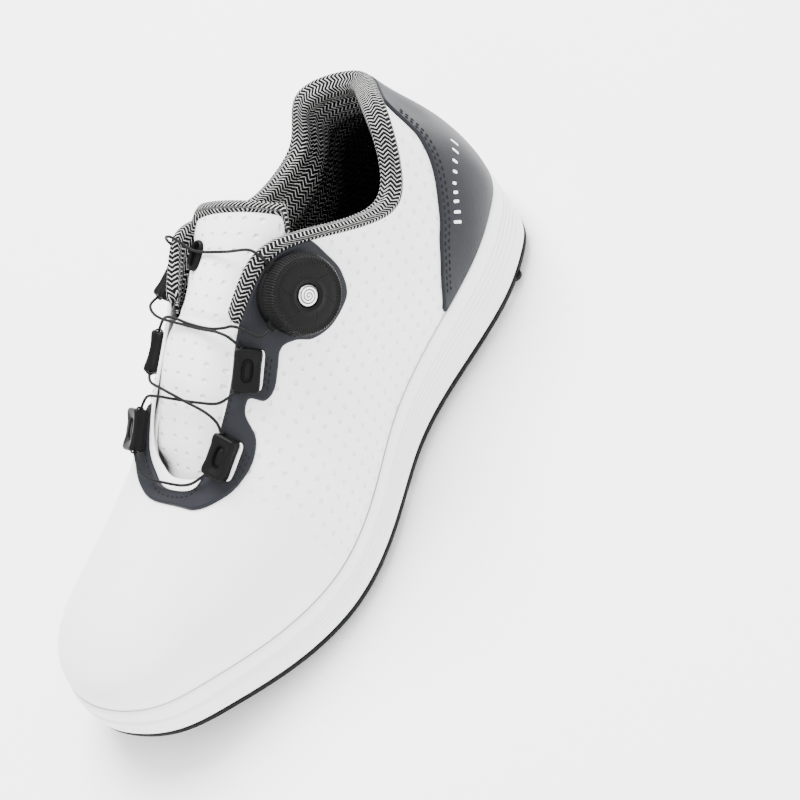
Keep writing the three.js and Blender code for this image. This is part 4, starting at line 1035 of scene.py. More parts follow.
def collar_lining_part():
    """Rings across the padded lining: down its hidden face from the top, and back up the face that
    meets the foot, which swells between the top edge and the ankle."""
    u = np.linspace(COLLAR_FROM, COLLAR_TO, 260) / RIB_COUNT
    h = np.concatenate([np.linspace(1.0, 0, 60), np.linspace(0, -1, 6)[1:]])
    inner = lining_depth(u[:, None], h[None]) + LINING_THICKNESS
    swell = 1.4 * ease(u * RIB_COUNT, 8.0, 10.5)[:, None] * (1 - ease(u * RIB_COUNT, 17.8, 20.6))[:, None]
    inner = inner + swell * np.exp(-(((h[None] - 0.84) / 0.12) ** 2))
    outer = lining_depth(u[:, None], h[None])
    face = upper_at(u[:, None], h[None], inner)
    back = upper_at(u[:, None], h[None], outer)
    run = length_along(upper_at(u, np.ones_like(u), 4.0))
    fall = np.concatenate(
        [np.zeros((len(u), 1)), np.cumsum(np.linalg.norm(np.diff(face, axis=1), axis=-1), axis=1)], axis=1
    )
    place = np.stack([np.broadcast_to(run[:, None], fall.shape), fall, np.zeros_like(fall)], axis=-1)
    return loft(
        np.concatenate([face, back[:, ::-1]], axis=1), place=np.concatenate([place, place[:, ::-1]], axis=1)
    )


def collar_binding_part():
    """A rounded roll along the collar's edge. Its section is a closed curve from the outer face of
    the upper, over the crest and down on to the lining."""
    u = np.linspace(COLLAR_FROM, COLLAR_TO, 420) / RIB_COUNT
    edge = upper_face(u, np.ones_like(u))
    out = NORMAL_SIGN * upper_normal(u, np.ones_like(u))
    up = edge - upper_face(u, np.full_like(u, 0.97))
    up /= np.linalg.norm(up, axis=-1, keepdims=True)
    depth = (lining_depth(u, 1.0) + LINING_THICKNESS)[:, None]
    section_out = np.array([0.05, 0.35, 0.75, 1.0, 1.0, 0.7, 0.2])
    section_up = np.array([-2.2, -2.0, -1.2, 0.0, 1.3, 2.5, 3.4])
    crest = np.linspace(0.08, 0.94, 9)
    inner_out = np.array([1.02, 1.06, 1.05, 1.02])
    inner_up = np.array([2.4, 0.8, -1.2, -3.6])
    across = np.concatenate([
        np.broadcast_to(section_out, (len(u), 7)), -depth * crest[None], -depth * inner_out[None] - 0.35,
        -depth * np.array([[0.6, 0.0]]) * 0 - 1.6,
    ], axis=1)
    height = np.concatenate([
        np.broadcast_to(section_up, (len(u), 7)),
        np.broadcast_to(3.5 + 0.75 * np.sin(np.pi * crest), (len(u), 9)),
        np.broadcast_to(inner_up, (len(u), 4)), np.broadcast_to(np.array([-3.2, -2.4]), (len(u), 2)),
    ], axis=1)
    ends = np.sqrt(
        np.clip(1 - (1 - np.clip(np.minimum(u - u[0], u[-1] - u) * RIB_COUNT / 0.18, 0, 1)) ** 2, 0.05, 1)
    )[:, None]
    across = -1.6 + (across + 1.6) * ends
    height = np.minimum(height, height * ends)
    points = edge[:, None] + out[:, None] * across[..., None] + up[:, None] * height[..., None]
    run = length_along(edge)
    girth = np.concatenate(
        [np.zeros((len(u), 1)), np.cumsum(np.linalg.norm(np.diff(points, axis=1), axis=-1), axis=1)], axis=1
    )
    place = np.stack([np.broadcast_to(run[:, None], girth.shape), girth, np.zeros_like(girth)], axis=-1)
    return loft(points, place=place)


# The pale yarn fades to black from 14 to 42 mm down the lining: painted shade inside the shoe.
collar_knit = knit_finish("collar_knit_inside", 14.0, 42.0, pitch=2.0, period=5.0)
binding_knit = knit_finish("collar_knit_binding", 90.0, 120.0, pitch=1.8, period=5.2)
collar_pad = make_piece(
    "collar_knit_lining",
    [collar_lining_part()],
    [collar_knit.material],
    "shoe",
    "knit",
    "collar_lining",
    sharp=70
)
make_piece(
    "collar_knit_roll",
    [collar_binding_part()],
    [binding_knit.material],
    "shoe",
    "knit",
    "collar_binding",
    sharp=70
)

# ---------------------------------------------------------------- sock liner
# A loose moulded insole with a black brushed fabric top.
sock_fabric = Finish("sock_fabric", (0.011, 0.011, 0.012), 0.9, Specular_IOR_Level=0.1)
grained(sock_fabric, 0.0011, 0.0002, (0.006, 0.006, 0.007), (0.014, 0.014, 0.015), 0.85, 0.95)


def insole_part():
    """Rings of the sole's outline, moved in, from the underside up over a rounded edge."""
    rows = [(12.4, 1.7), (11.9, 2.2), (11.6, 3.4), (11.6, 4.8), (12.0, 5.3), (13.5, 5.5), (16.0, 5.4)]
    return loft(sole_stack([(inset, lambda x, lift=lift: footbed(x) + lift) for inset, lift in rows]))


sock = make_piece("sock_liner", [insole_part()], [sock_fabric.material], "shoe", "lining", "insole", sharp=50)

# ---------------------------------------------------------------- grey overlays
# Slate-grey coated leather, cut to shape, laid on the upper and stitched down: the heel counter's
# cover with its swept front, and the eyestay that carries the guides and widens round the dial.
OVERLAY_LIFT = 1.45
HEEL_OVERLAY_EDGE = [
    (9.24, 0.03), (9.68, 0.22), (10.4, 0.46), (11.1, 0.6), (11.8, 0.68), (12.3, 0.78), (12.5, 0.985),
]
EYESTAY_EDGE = [
    (-4.3, 0.95), (-3.95, 0.87), (-3.35, 0.84), (-2.5, 0.86), (-0.85, 0.91), (0.85, 0.91), (2.7, 0.83),
    (3.55, 0.77), (4.15, 0.75), (4.5, 0.775), (4.72, 0.87), (4.98, 0.87), (5.2, 0.775), (5.5, 0.735),
    (5.9, 0.73), (6.3, 0.735), (6.6, 0.68), (6.85, 0.6), (7.35, 0.545), (7.95, 0.56), (8.35, 0.68),
    (8.52, 0.84), (8.62, 0.98),
]


def rounded_curve(pairs, where, radius):
    """A line through (place, value) pairs with its corners rounded: the mean over a window of radius."""
    places, values = np.array(pairs).T
    taps = np.linspace(-1, 1, 15)
    weight = 1 - taps**2 + 0.02
    reach = np.asarray(where)[..., None] + taps * radius
    return np.sum(np.interp(reach, places, values) * weight, axis=-1) / weight.sum()


def heel_edge(rib):
    """Top edge of the heel overlay, the same on both sides of the heel."""
    mirrored = np.minimum(rib, RIB_COUNT - rib)
    return rounded_curve(HEEL_OVERLAY_EDGE, mirrored, 0.22)


def eyestay_edge(rib):
    """Lower edge of the eyestay, a smooth line through its points."""
    line = smooth_line(np.array(EYESTAY_EDGE) * (1, 6), 600)
    return np.interp(rib, line[:, 0], line[:, 1] / 6)


def eyestay_top(rib):
    """Upper edge of the eyestay: it leaves the upper's pale rim bare round the bottom of the throat."""
    return 0.985 - 0.022 * ease(rib, -4.0, -3.0) * (1 - ease(rib, 1.6, 2.6))


def overlay_part(ribs, low, high, rows):
    """A thin sheet on the upper between two edges. Its face is lifted by the overlay's thickness and
    falls away at the edges as a quarter circle of the true distance to the edge."""
    u = ribs / RIB_COUNT
    share = 0.5 - 0.5 * np.cos(np.linspace(0, np.pi, rows))
    h = low[:, None] + (high - low)[:, None] * share[None]
    face = upper_face(u[:, None], h)
    column = np.cumsum(np.linalg.norm(np.diff(face, axis=1), axis=-1), axis=1)
    column = np.concatenate([np.zeros_like(column[:, :1]), column], axis=1)
    total = column[:, -1:]

    def lean(line):
        step = np.gradient(line, axis=0)
        across = np.gradient(upper_face(u, (low + high) / 2), axis=0)
        upward = np.abs(np.sum(step * (face[:, -1] - face[:, 0]), axis=-1)) / np.maximum(total[:, 0], 1e-6)
        return np.linalg.norm(across, axis=-1) / np.hypot(np.linalg.norm(across, axis=-1), upward)

    from_low = column * lean(face[:, 0])[:, None]
    from_high = (total - column) * lean(face[:, -1])[:, None]
    run = length_along(upper_face(u, (low + high) / 2))
    from_ends = np.minimum(run, run[-1] - run)[:, None]
    near = np.minimum(np.minimum(from_low, from_high), from_ends)
    rounded = np.sqrt(np.clip(1 - (1 - np.clip(near / 1.1, 0, 1)) ** 2, 0, 1))
    top = upper_at(u[:, None], h, -0.03 - (OVERLAY_LIFT - 0.03) * rounded)
    bottom = upper_at(u[:, None], h, np.full_like(h, 0.25))
    place = np.stack([np.broadcast_to(run[:, None], column.shape), column, near], axis=-1)
    return two_faced(top, bottom, place)


slate_leather = Finish("slate_leather", (0.010, 0.011, 0.014), 0.55, Specular_IOR_Level=0.12)
grained(slate_leather, 0.0008, 0.00006, (0.0085, 0.0092, 0.012), (0.012, 0.013, 0.0165), 0.42, 0.56)

heel_ribs = np.linspace(9.26, 18.74, 300)
make_piece(
    "heel_slate_cover",
    [overlay_part(heel_ribs, np.full_like(heel_ribs, 0.012), heel_edge(heel_ribs), 64)],
    [slate_leather.material], "shoe", "overlay_grey", "heel_overlay", sharp=70,
)
eyestay_ribs = np.linspace(-4.2, 8.6, 620)
make_piece(
    "eyestay_slate_cover",
    [overlay_part(eyestay_ribs, eyestay_edge(eyestay_ribs), eyestay_top(eyestay_ribs), 40)],
    [slate_leather.material], "shoe", "overlay_grey", "eyestay_overlay", sharp=70,
)

# Stitching: short waxed threads that dip into the leather at both ends.
dark_thread = Finish("dark_thread", (0.01, 0.01, 0.011), 0.8, Specular_IOR_Level=0.1)
grained(dark_thread, 0.0003, 0.00004, (0.006, 0.006, 0.007), (0.016, 0.016, 0.018), 0.7, 0.9)


def stitches_on_upper(rib, h, lift, pitch=2.9, length=2.1, radius=0.33):
    """One small spindle for each stitch, laid at even steps along a line on the upper. A spindle is
    four rings of six points about the line's direction, thin at both ends."""
    u = np.asarray(rib) / RIB_COUNT
    line = upper_at(u, h, -lift)
    reach = length_along(line)
    count = max(int(reach[-1] / pitch), 1)
    centre = (np.arange(count) + 0.5) * reach[-1] / count
    cu, ch = np.interp(centre, reach, u), np.interp(centre, reach, h)
    middle = np.stack([np.interp(centre, reach, line[:, c]) for c in range(3)], axis=-1)
    ahead = np.stack([np.interp(centre + 0.4, reach, line[:, c]) for c in range(3)], axis=-1)
    behind = np.stack([np.interp(centre - 0.4, reach, line[:, c]) for c in range(3)], axis=-1)
    tangent = ahead - behind
    tangent /= np.linalg.norm(tangent, axis=-1, keepdims=True)
    return spindles(middle, tangent, NORMAL_SIGN * upper_normal(cu, ch), length, radius)


def spindles(middle, tangent, normal, length, radius):
    """Thread spindles at given middles, directions and surface normals, as one skin."""
    side = np.cross(normal, tangent)
    side /= np.linalg.norm(side, axis=-1, keepdims=True)
    along = np.array([-0.5, -0.28, 0.28, 0.5]) * length
    thick = np.array([0.35, 1.0, 1.0, 0.35]) * radius
    sink = np.array([-0.9, 0.0, 0.0, -0.9]) * radius
    angle = np.arange(6) * math.pi / 3
    local = np.stack([
        np.repeat(along[:, None], 6, axis=1),
        thick[:, None] * np.cos(angle),
        thick[:, None] * np.sin(angle) + sink[:, None],
    ], axis=-1)
    single = loft(local, ends="fan")
    v = single["vertices"]
    vertices = (
        middle[:, None] + tangent[:, None] * v[None, :, 0:1] + side[:, None] * v[None, :, 1:2]
        + normal[:, None] * v[None, :, 2:3]
    ).reshape(-1, 3)
    steps = np.arange(len(middle))[:, None, None] * len(v)
    return {
        "vertices": vertices,
        "quads": (single["quads"][None] + steps).reshape(-1, 4),
        "triangles": (single["triangles"][None] + steps).reshape(-1, 3),
        "place": None,
        "look": 0,
    }


def inside_edge(ribs, edge, distance, sign):
    """The line that keeps a distance from an overlay's edge, measured square to the edge."""
    u = ribs / RIB_COUNT
    step = 2e-3
    tangent = np.gradient(upper_face(u, edge), axis=0)
    tangent /= np.linalg.norm(tangent, axis=-1, keepdims=True)
    inward = sign * np.cross(NORMAL_SIGN * upper_normal(u, edge), tangent)
    du = (upper_face(u + step, edge) - upper_face(u - step, edge)) / (2 * step)
    dh = (upper_face(u, np.minimum(edge + step, 1)) - upper_face(u, edge - step)) / (2 * step)
    a, b, c = np.sum(du * du, -1), np.sum(du * dh, -1), np.sum(dh * dh, -1)
    p, q = np.sum(du * inward, -1) * distance, np.sum(dh * inward, -1) * distance
    det = a * c - b * b
    return (u + (c * p - b * q) / det) * RIB_COUNT, edge + (a * q - b * p) / det


front_ribs = np.linspace(9.45, 12.42, 160)
heel_rows = []
for distance in (2.2, 4.4):
    for flipped in (False, True):
        ribs = RIB_COUNT - front_ribs[::-1] if flipped else front_ribs
        rib_line, h_line = inside_edge(ribs, heel_edge(ribs), distance, -1.0)
        kept = (h_line > 0.03) & (h_line < 0.97)
        heel_rows.append(stitches_on_upper(rib_line[kept], h_line[kept], OVERLAY_LIFT + 0.05))
make_piece("heel_cover_stitching", heel_rows, [dark_thread.material], "shoe", "overlay_grey", sharp=60)

# Eyestay stitching along the throat, and on the pale rim on the inner side of the foot.
throat_rows = []
for start, end in ((-4.0, 3.0), (4.25, 4.95), (5.9, 6.3)):
    ribs = np.linspace(start, end, 90)
    inner_line = eyestay_top(ribs) - 0.022
    throat_rows.append(
        stitches_on_upper(ribs, inner_line, OVERLAY_LIFT + 0.05, pitch=2.5, length=1.8, radius=0.28)
    )
medial_rim = np.linspace(22.3, 24.1, 90)
throat_rows.append(
    stitches_on_upper(medial_rim, np.full_like(medial_rim, 0.955), 0.05, pitch=2.4, length=1.6, radius=0.24)
)
make_piece("throat_stitching", throat_rows, [dark_thread.material], "shoe", "overlay_grey", sharp=60)

# A printed mark on the outer side of the heel cover: a plain row of small raised bars.
heel_print = Finish("heel_print", (0.86, 0.86, 0.87), 0.4)
grained(heel_print, 0.0006, 0.00003, (0.82, 0.82, 0.83), (0.88, 0.88, 0.89), 0.35, 0.48)


HEEL_MARK_ROUTE = [(12.6, 0.45), (12.05, 0.48), (11.6, 0.485), (11.3, 0.45), (10.95, 0.39)]


def printed_bars():
    """Small raised rounded bars one behind another on the cover, each a stadium laid on the surface
    across the row's direction: rings from the foot over a soft edge to the middle."""
    levels = [(1.0, -0.1), (1.0, 0.16), (0.86, 0.24), (0.4, 0.26)]
    parts = []
    route = np.array(HEEL_MARK_ROUTE)
    steps = np.linspace(0, len(route) - 1, 9)
    lengths = np.array([4.6, 4.0, 3.2, 2.6, 2.2, 2.6, 3.2, 4.0, 4.6])
    ribs, heights = (np.interp(steps, np.arange(len(route)), route[:, k]) for k in (0, 1))
    middles = upper_at(ribs / RIB_COUNT, heights, np.full_like(ribs, -OVERLAY_LIFT))
    onward = np.gradient(middles, axis=0)
    for middle, along, rib, h, length in zip(middles, onward, ribs, heights, lengths):
        normal = NORMAL_SIGN * upper_normal(np.array(rib / RIB_COUNT), np.array(h))
        across = np.cross(normal, along / np.linalg.norm(along))
        along = np.cross(across, normal)
        flat = stadium(length, 1.3, 24)
        rings = [
            middle + (flat[:, :1] * across + flat[:, 1:] * along) * share
            + normal * (lift - 0.012 * (flat[:, :1] * share) ** 2)
            for share, lift in levels
        ]
        parts.append(loft(np.stack(rings), ends="fan"))
    return parts


make_piece("heel_printed_mark", printed_bars(), [heel_print.material], "shoe", "overlay_grey", sharp=40)

# ---------------------------------------------------------------- lace guides
# Moulded black nylon blocks, stitched to the eyestay through a thin flange. Each is waisted, has an
# oval recess on top, and a curved channel whose mouths open towards the throat.
GUIDE_LENGTH, GUIDE_WIDTH, GUIDE_SEAT = 17.0, 11.0, 0.7
GUIDES = {
    "guide_lateral_upper": (5.52, 0.9, -1.6),
    "guide_lateral_lower": (3.7, 0.9, -1.6),
    "guide_medial_upper": (21.3, 0.87, -0.6),
    "guide_medial_middle": (22.68, 0.9, 0.0),
    "guide_medial_lower": (24.22, 0.89, -1.6),
}
satin_nylon = Finish("satin_nylon", (0.004, 0.004, 0.004), 0.42, Specular_IOR_Level=0.06)
grained(satin_nylon, 0.0005, 0.00003, (0.003, 0.003, 0.003), (0.005, 0.005, 0.005), 0.34, 0.5)

GUIDE_DIP = 1.05  # how far the top dips along the middle


def guide_axes(rib, h, depth):
    """The guide's seat on the upper: its middle, and unit directions along, across and up."""
    u = rib / RIB_COUNT
    up = NORMAL_SIGN * upper_normal(u, h)
    middle = upper_at(np.array(u), np.array(h), np.array(depth - GUIDE_SEAT))
    along = upper_face(u + 0.004, h) - upper_face(u - 0.004, h)
    along /= np.linalg.norm(along)
    across = np.cross(up, along)
    return middle, along, across / np.linalg.norm(across), up


def guide_outline(angle, length, width, waist):
    """A rounded box seen from above whose long sides draw in by waist at the middle."""
    c, s = np.cos(angle), np.sin(angle)
    x = np.sign(c) * np.abs(c) ** 0.28 * length / 2
    y = np.sign(s) * np.abs(s) ** 0.28 * width / 2
    return np.stack([x, y * (1 - waist * np.cos(np.pi * np.clip(x / length, -0.5, 0.5)) ** 2)], axis=-1)


def oval(angle, length, width):
    """A plain oval with squarish ends."""
    c, s = np.cos(angle), np.sin(angle)
    return np.stack(
        [np.sign(c) * np.abs(c) ** 0.75 * length / 2, np.sign(s) * np.abs(s) ** 0.75 * width / 2], axis=-1
    )


def guide_parts(rib, h, depth):
    """Rings from the foot up the block's sides, over its edge and down into the oval recess; the top
    dips along the middle. Two flared rings stand round the channel's mouths."""
    middle, along, across, up = guide_axes(rib, h, depth)
    angle = np.arange(96) * 2 * math.pi / 96 + math.pi / 96
    levels = [
        (0.0, -1.5), (0.0, 0.1), (-0.25, 0.5), (-0.1, 0.9), (0.1, 2.4), (-0.15, 3.5), (0.0, 4.1),
        (0.4, 4.5), (1.0, 4.65),
    ]
    rings = []
    for inset, height in levels:
        flat = guide_outline(angle, GUIDE_LENGTH - 2 * inset, GUIDE_WIDTH - 2 * inset, 0.07)
        along_share = np.clip(flat[:, 0] / GUIDE_LENGTH, -0.5, 0.5)
        dip = GUIDE_DIP * np.cos(np.pi * along_share) ** 2 * ease(height, 2.0, 4.4)
        rings.append(np.concatenate([flat, (height - dip)[:, None]], axis=1))
    outer_top = rings[-1]
    for share, length, width, height in (
        (0.55, 11.2, 6.6, 3.95), (0.0, 9.6, 5.0, 3.72), (0.0, 9.0, 4.4, 3.2), (0.0, 8.6, 4.0, 2.7),
        (0.0, 6.6, 2.6, 2.85), (0.0, 5.6, 1.8, 3.3), (0.0, 4.4, 1.0, 3.4),
    ):
        flat = oval(angle, length, width)
        ring = np.concatenate([flat, np.full((len(flat), 1), height)], axis=1)
        rings.append(ring * (1 - share) + outer_top * share if share else ring)
    local = np.stack(rings)
    block = middle + local[..., :1] * along + local[..., 1:2] * across + local[..., 2:] * up
    parts = [loft(block, ends="fan")]
    for end in (-1, 1):
        mouth = np.array([end * (GUIDE_LENGTH / 2 - 0.1), 3.3, 1.8])
        axis = np.array([end * 2.5, 2.0, 0.0])
        axis /= np.linalg.norm(axis)
        side = np.cross((0, 0, 1), axis)
        section = np.arange(12) * math.pi / 6
        around = np.arange(24) * math.pi / 12
        ring_radius = 1.35 + 0.42 * np.cos(section)
        reach = 0.42 * np.sin(section)
        outward, upward = (wave(around)[:, None, None] for wave in (np.cos, np.sin))
        torus = (
            mouth + axis * reach[None, :, None]
            + (outward * side + upward * np.array([0, 0, 1.0])) * ring_radius[None, :, None]
        )
        placed = middle + torus[..., :1] * along + torus[..., 1:2] * across + torus[..., 2:] * up
        parts.append(loft(placed, along=True))
    return parts


for guide_name, guide_place in GUIDES.items():
    make_piece(
        guide_name + "_block",
        guide_parts(*guide_place),
        [satin_nylon.material],
        "shoe",
        "black_plastic",
        guide_name,
        sharp=40
    )


def flange_part(rib, h, depth):
    """The thin stitched flange under a guide's outer side: a flat rounded strip on the overlay."""
    middle, along, across, up = guide_axes(rib, h, depth)
    angle = np.arange(64) * 2 * math.pi / 64 + math.pi / 64
    rings = []
    for inset, height in ((0.0, -1.2), (0.0, -0.5), (0.25, -0.32), (1.2, -0.3)):
        flat = guide_outline(angle, GUIDE_LENGTH - 0.6 - 2 * inset, GUIDE_WIDTH - 2 * inset, 0.0)
        rings.append(
            np.concatenate([flat + (0, 0.95 * FLANGE_SIDE), np.full((len(flat), 1), height)], axis=1)
        )
    local = np.stack(rings)
    return loft(middle + local[..., :1] * along + local[..., 1:2] * across + local[..., 2:] * up, ends="fan")


# The throat lies on the other side of the guide from the sole; the flange shows on the sole's side.
probe = guide_axes(*GUIDES["guide_lateral_upper"])
FLANGE_SIDE = -np.sign(
    np.dot(probe[2], upper_face(5.52 / RIB_COUNT, 0.98) - upper_face(5.52 / RIB_COUNT, 0.9))
)
pale_edge = Finish("pale_folded_edge", (0.80, 0.80, 0.81), 0.5)
grained(pale_edge, 0.0007, 0.00004, (0.76, 0.76, 0.77), (0.84, 0.84, 0.85), 0.45, 0.58)
make_piece(
    "guide_pale_flanges",
    [flange_part(*GUIDES[name]) for name in ("guide_lateral_upper", "guide_lateral_lower")],
    [pale_edge.material], "shoe", "upper_white", sharp=40,
)


def guide_stitches(rib, h):
    """A double row of stitches on the overlay beside a guide's outer long side, at a steady h."""
    ribs = np.linspace(rib - 0.16, rib + 0.52, 40)
    rows = []
    for lower in (0.105, 0.125):
        rows.append(
            stitches_on_upper(
                ribs,
                np.full_like(ribs, h - lower),
                OVERLAY_LIFT + 0.05,
                pitch=2.5,
                length=1.8,
                radius=0.28,
            )
        )
    return rows


make_piece(
    "guide_stitching",
    [
        row
        for name in (
            "guide_lateral_upper", "guide_lateral_lower",
        ) for row in guide_stitches(*GUIDES[name][:2])
    ],
    [dark_thread.material], "shoe", "overlay_grey", sharp=60,
)

# ---------------------------------------------------------------- tongue
# A padded tongue of the same dimpled microfibre, lined with mesh whose pale yarn fades to black across it
# as painted shade, and bound with knit along its top. It is stitched in at its front end. A moulded oval
# keeper lets the lace through its face.
TONGUE_ROUTE = np.array([
    [213, 62], [206, 66], [200, 72.5], [194, 80], [184.5, 90], [171.5, 100.5], [157, 108.8],
    [142, 116], [127, 122.5], [116, 127.3], [109, 130.4],
], dtype=float)
TONGUE_HALF_WIDTH = [(0, 19), (0.3, 24.5), (0.55, 23.5), (0.72, 20.3), (0.85, 20.6), (1, 25)]
TONGUE_SKEW = 5.5
TONGUE_EDGE_DROP = [(0, 7), (0.12, 9), (0.3, 17), (0.5, 15.5), (0.62, 12), (0.75, 8.5), (1, 6.5)]
TONGUE_FOAM = [(0, 1.5), (0.4, 3.2), (1, 4.6)]
TONGUE_END = 0.965
KEEPER_PLACE, KEEPER_LENGTH, KEEPER_WIDTH = (0.82, -0.62), 12.0, 6.0
tongue_line = smooth_line(TONGUE_ROUTE, 400)


def tongue_face(s, c):
    """The tongue's outer face: s along its middle line, c across it from -1 to 1; the edges drop by a
    power of the distance from the middle."""
    s, c = np.broadcast_arrays(np.asarray(s, dtype=float), np.asarray(c, dtype=float))
    share = np.clip(s, 0, 1)
    steps = np.linspace(0, 1, len(tongue_line))
    x, z = (np.interp(share, steps, tongue_line[:, k]) for k in (0, 1))
    half = np.interp(share, *np.array(TONGUE_HALF_WIDTH).T)
    drop = np.interp(share, *np.array(TONGUE_EDGE_DROP).T) * np.abs(c) ** 2.2
    skew = TONGUE_SKEW * c * ease(share, 0.55, 1)
    return np.stack([x - 0.35 * drop - skew, -1.0 + c * half, z - drop], axis=-1)


def tongue_normal(s, c):
    """Unit normal that points out of the tongue's face."""
    step = 4e-3
    s = np.clip(s, step, 1 - step)
    along = tongue_face(s + step, c) - tongue_face(s - step, c)
    across = tongue_face(s, c + step) - tongue_face(s, c - step)
    normal = np.cross(along, across)
    return normal / np.linalg.norm(normal, axis=-1, keepdims=True)


TONGUE_SIGN = np.sign(tongue_normal(np.array(0.5), np.array(0.0))[2])


def tongue_at(s, c, depth):
    """A point of the tongue, depth millimetres in from its outer face."""
    s, c, depth = np.broadcast_arrays(s, c, depth)
    return tongue_face(s, c) - TONGUE_SIGN * tongue_normal(s, c) * depth[..., None]


def foam_depth(s, c):
    """Depth of the foam's inner face below the tongue's outer face."""
    return 1.4 + np.interp(s, *np.array(TONGUE_FOAM).T) * np.sqrt(np.maximum(1 - np.asarray(c) ** 2, 0.12))


def rounded_corner(s, c):
    """Draws the tongue's end back near its sides, so that its top corners are round."""
    return s - 0.055 * (s / TONGUE_END) ** 6 * ease(np.abs(c), 0.72, 1.0) ** 2


def tongue_cover_part():
    """Rings across the tongue: the outer face from edge to edge, puffed over the foam and dented
    where the lace presses, then the face's underside back again."""
    s = np.linspace(0, TONGUE_END + 0.012, 130)[:, None]
    c = np.sin(np.linspace(-1, 1, 61) * math.pi / 2)[None]
    keeper = np.exp(-(((s - KEEPER_PLACE[0]) / 0.045) ** 2) - ((c - KEEPER_PLACE[1]) / 0.26) ** 2)
    puff = (0.9 * ease(s, 0.5, 0.72) * (1 - np.abs(c) ** 4) + 0.35) * (1 - 0.75 * keeper)
    puff = puff + 4.5 * np.exp(-(((c + 0.74) / 0.3) ** 2)) * ease(s, 0.1, 0.2) * (1 - ease(s, 0.5, 0.68))
    crease = 0.7 * np.exp(-(((s - 0.615) / 0.012) ** 2)) * (1 - 0.3 * np.abs(c))
    roll = 1.0 * ease(np.abs(c), 0.93, 1.0)
    reach = rounded_corner(s, c)
    top = tongue_at(reach, c, -puff + crease + roll)
    bottom = tongue_at(reach, c, 1.05 + 0 * s + 0 * c)
    run = length_along(tongue_at(s[:, 0], np.zeros_like(s[:, 0]), 0.0))
    side = np.broadcast_to(c * 22.0 + 3.2, top.shape[:2])
    place = np.stack(
        [np.broadcast_to(run[:, None], side.shape), side, np.abs(np.broadcast_to(c, side.shape))], axis=-1
    )
    return two_faced(top, bottom, place)


def tongue_lining_part():
    """Rings across the lining: its foam side from edge to edge, then the side that meets the foot."""
    s = np.linspace(0.06, TONGUE_END + 0.01, 90)[:, None]
    c = np.sin(np.linspace(-1, 1, 41) * math.pi / 2)[None] * 0.985
    reach = rounded_corner(s, c)
    top = tongue_at(reach, c, foam_depth(s, c) + 0.2)
    bottom = tongue_at(reach, c, foam_depth(s, c) + 1.3 - 0.6 * ease(np.abs(c), 0.9, 1.0))
    run = length_along(tongue_at(s[:, 0], np.zeros_like(s[:, 0]), 0.0))
    side = np.broadcast_to(c * 22.0 + 30.0, top.shape[:2])
    place = np.stack([np.broadcast_to(run[:, None], side.shape), side, side], axis=-1)
    return two_faced(top, bottom, place)


tongue_leather = dimpled_leather("tongue_microfibre", 400.0, 0.93)
tongue_pad = make_piece(
    "tongue_padded_cover",
    [tongue_cover_part()],
    [tongue_leather.material],
    "tongue",
    "upper_white",
    "tongue_face",
    sharp=70
)
# Its pale yarn fades to black across the lining: painted shade.
mesh_cloth = knit_finish("tongue_mesh_lining", 20.0, 45.0)
make_piece(
    "tongue_mesh_back",
    [tongue_lining_part()],
    [mesh_cloth.material],
    "tongue",
    "lining",
    "tongue_lining",
    sharp=70
)


def tongue_binding_part():
    """A knit roll over the tongue's top edge, thicker on the inner side of the foot. Its section is
    an oval round the edge of the face, foam and lining together."""
    c = np.linspace(-1.0, 1.0, 120)
    end = rounded_corner(np.full_like(c, TONGUE_END), c)
    edge = tongue_at(end, c, 0.0)
    outward = TONGUE_SIGN * tongue_normal(end, c)
    onward = tongue_face(TONGUE_END, 0.0) - tongue_face(TONGUE_END - 0.03, 0.0)
    onward /= np.linalg.norm(onward)
    depth = (foam_depth(TONGUE_END, c) + 1.2)[:, None]
    angle = np.linspace(0, 2 * np.pi, 28, endpoint=False)[None]
    inner_side = (1 - c[:, None]) / 2
    over = 1.9 + 0.9 * inner_side
    across = (over - depth) / 2 + (depth + over) / 2 * np.sign(np.cos(angle)) * np.abs(np.cos(angle)) ** 0.8
    height = 1.3 + (2.6 + 1.3 * inner_side) * np.sign(np.sin(angle)) * np.abs(np.sin(angle)) ** 0.9
    ends = np.sqrt(np.clip(1 - (1 - np.clip((1 - np.abs(c[:, None])) / 0.09, 0, 1)) ** 2, 0.04, 1))
    across = -depth / 2 + (across + depth / 2) * ends
    height = 0.8 + (height - 0.8) * ends
    points = edge[:, None] + outward[:, None] * across[..., None] + onward * height[..., None]
    run = length_along(edge)
    girth = np.concatenate(
        [np.zeros((len(c), 1)), np.cumsum(np.linalg.norm(np.diff(points, axis=1), axis=-1), axis=1)], axis=1
    )
    place = np.stack([np.broadcast_to(run[:, None], girth.shape), girth, np.zeros_like(girth)], axis=-1)
    return loft(points, place=place)


make_piece(
    "tongue_knit_roll",
    [tongue_binding_part()],
    [binding_knit.material],
    "tongue",
    "knit",
    "tongue_binding",
    sharp=70
)



def keeper_part():
    """Stadium rings: up the outside of a soft rim, over it, and down into a dark slot."""
    s, c = KEEPER_PLACE
    up = TONGUE_SIGN * tongue_normal(np.array(s), np.array(c * 0.45))
    along = tongue_face(s - 0.02, c) - tongue_face(s + 0.02, c)
    along /= np.linalg.norm(along)
    across = np.cross(up, along)
    across /= np.linalg.norm(across)
    along = np.cross(across, up)
    middle = tongue_at(np.array(s), np.array(c), np.array(-2.0))
    rings = []
    for inset, height in (
        (-0.3, -2.6), (-0.3, 0.2), (0.0, 0.7), (0.5, 0.95), (1.0, 0.7), (1.3, -0.1), (1.5, -0.9),
        (2.2, -1.0),
    ):
        flat = stadium(KEEPER_LENGTH - 2 * inset, KEEPER_WIDTH - 2 * inset, 64)
        rings.append(middle + flat[:, :1] * along + flat[:, 1:] * across + up * height)
    return loft(np.stack(rings), ends="fan")


make_piece(
    "tongue_oval_keeper",
    [keeper_part()],
    [satin_nylon.material],
    "tongue",
    "black_plastic",
    "tongue_lace_keeper",
    sharp=50
)

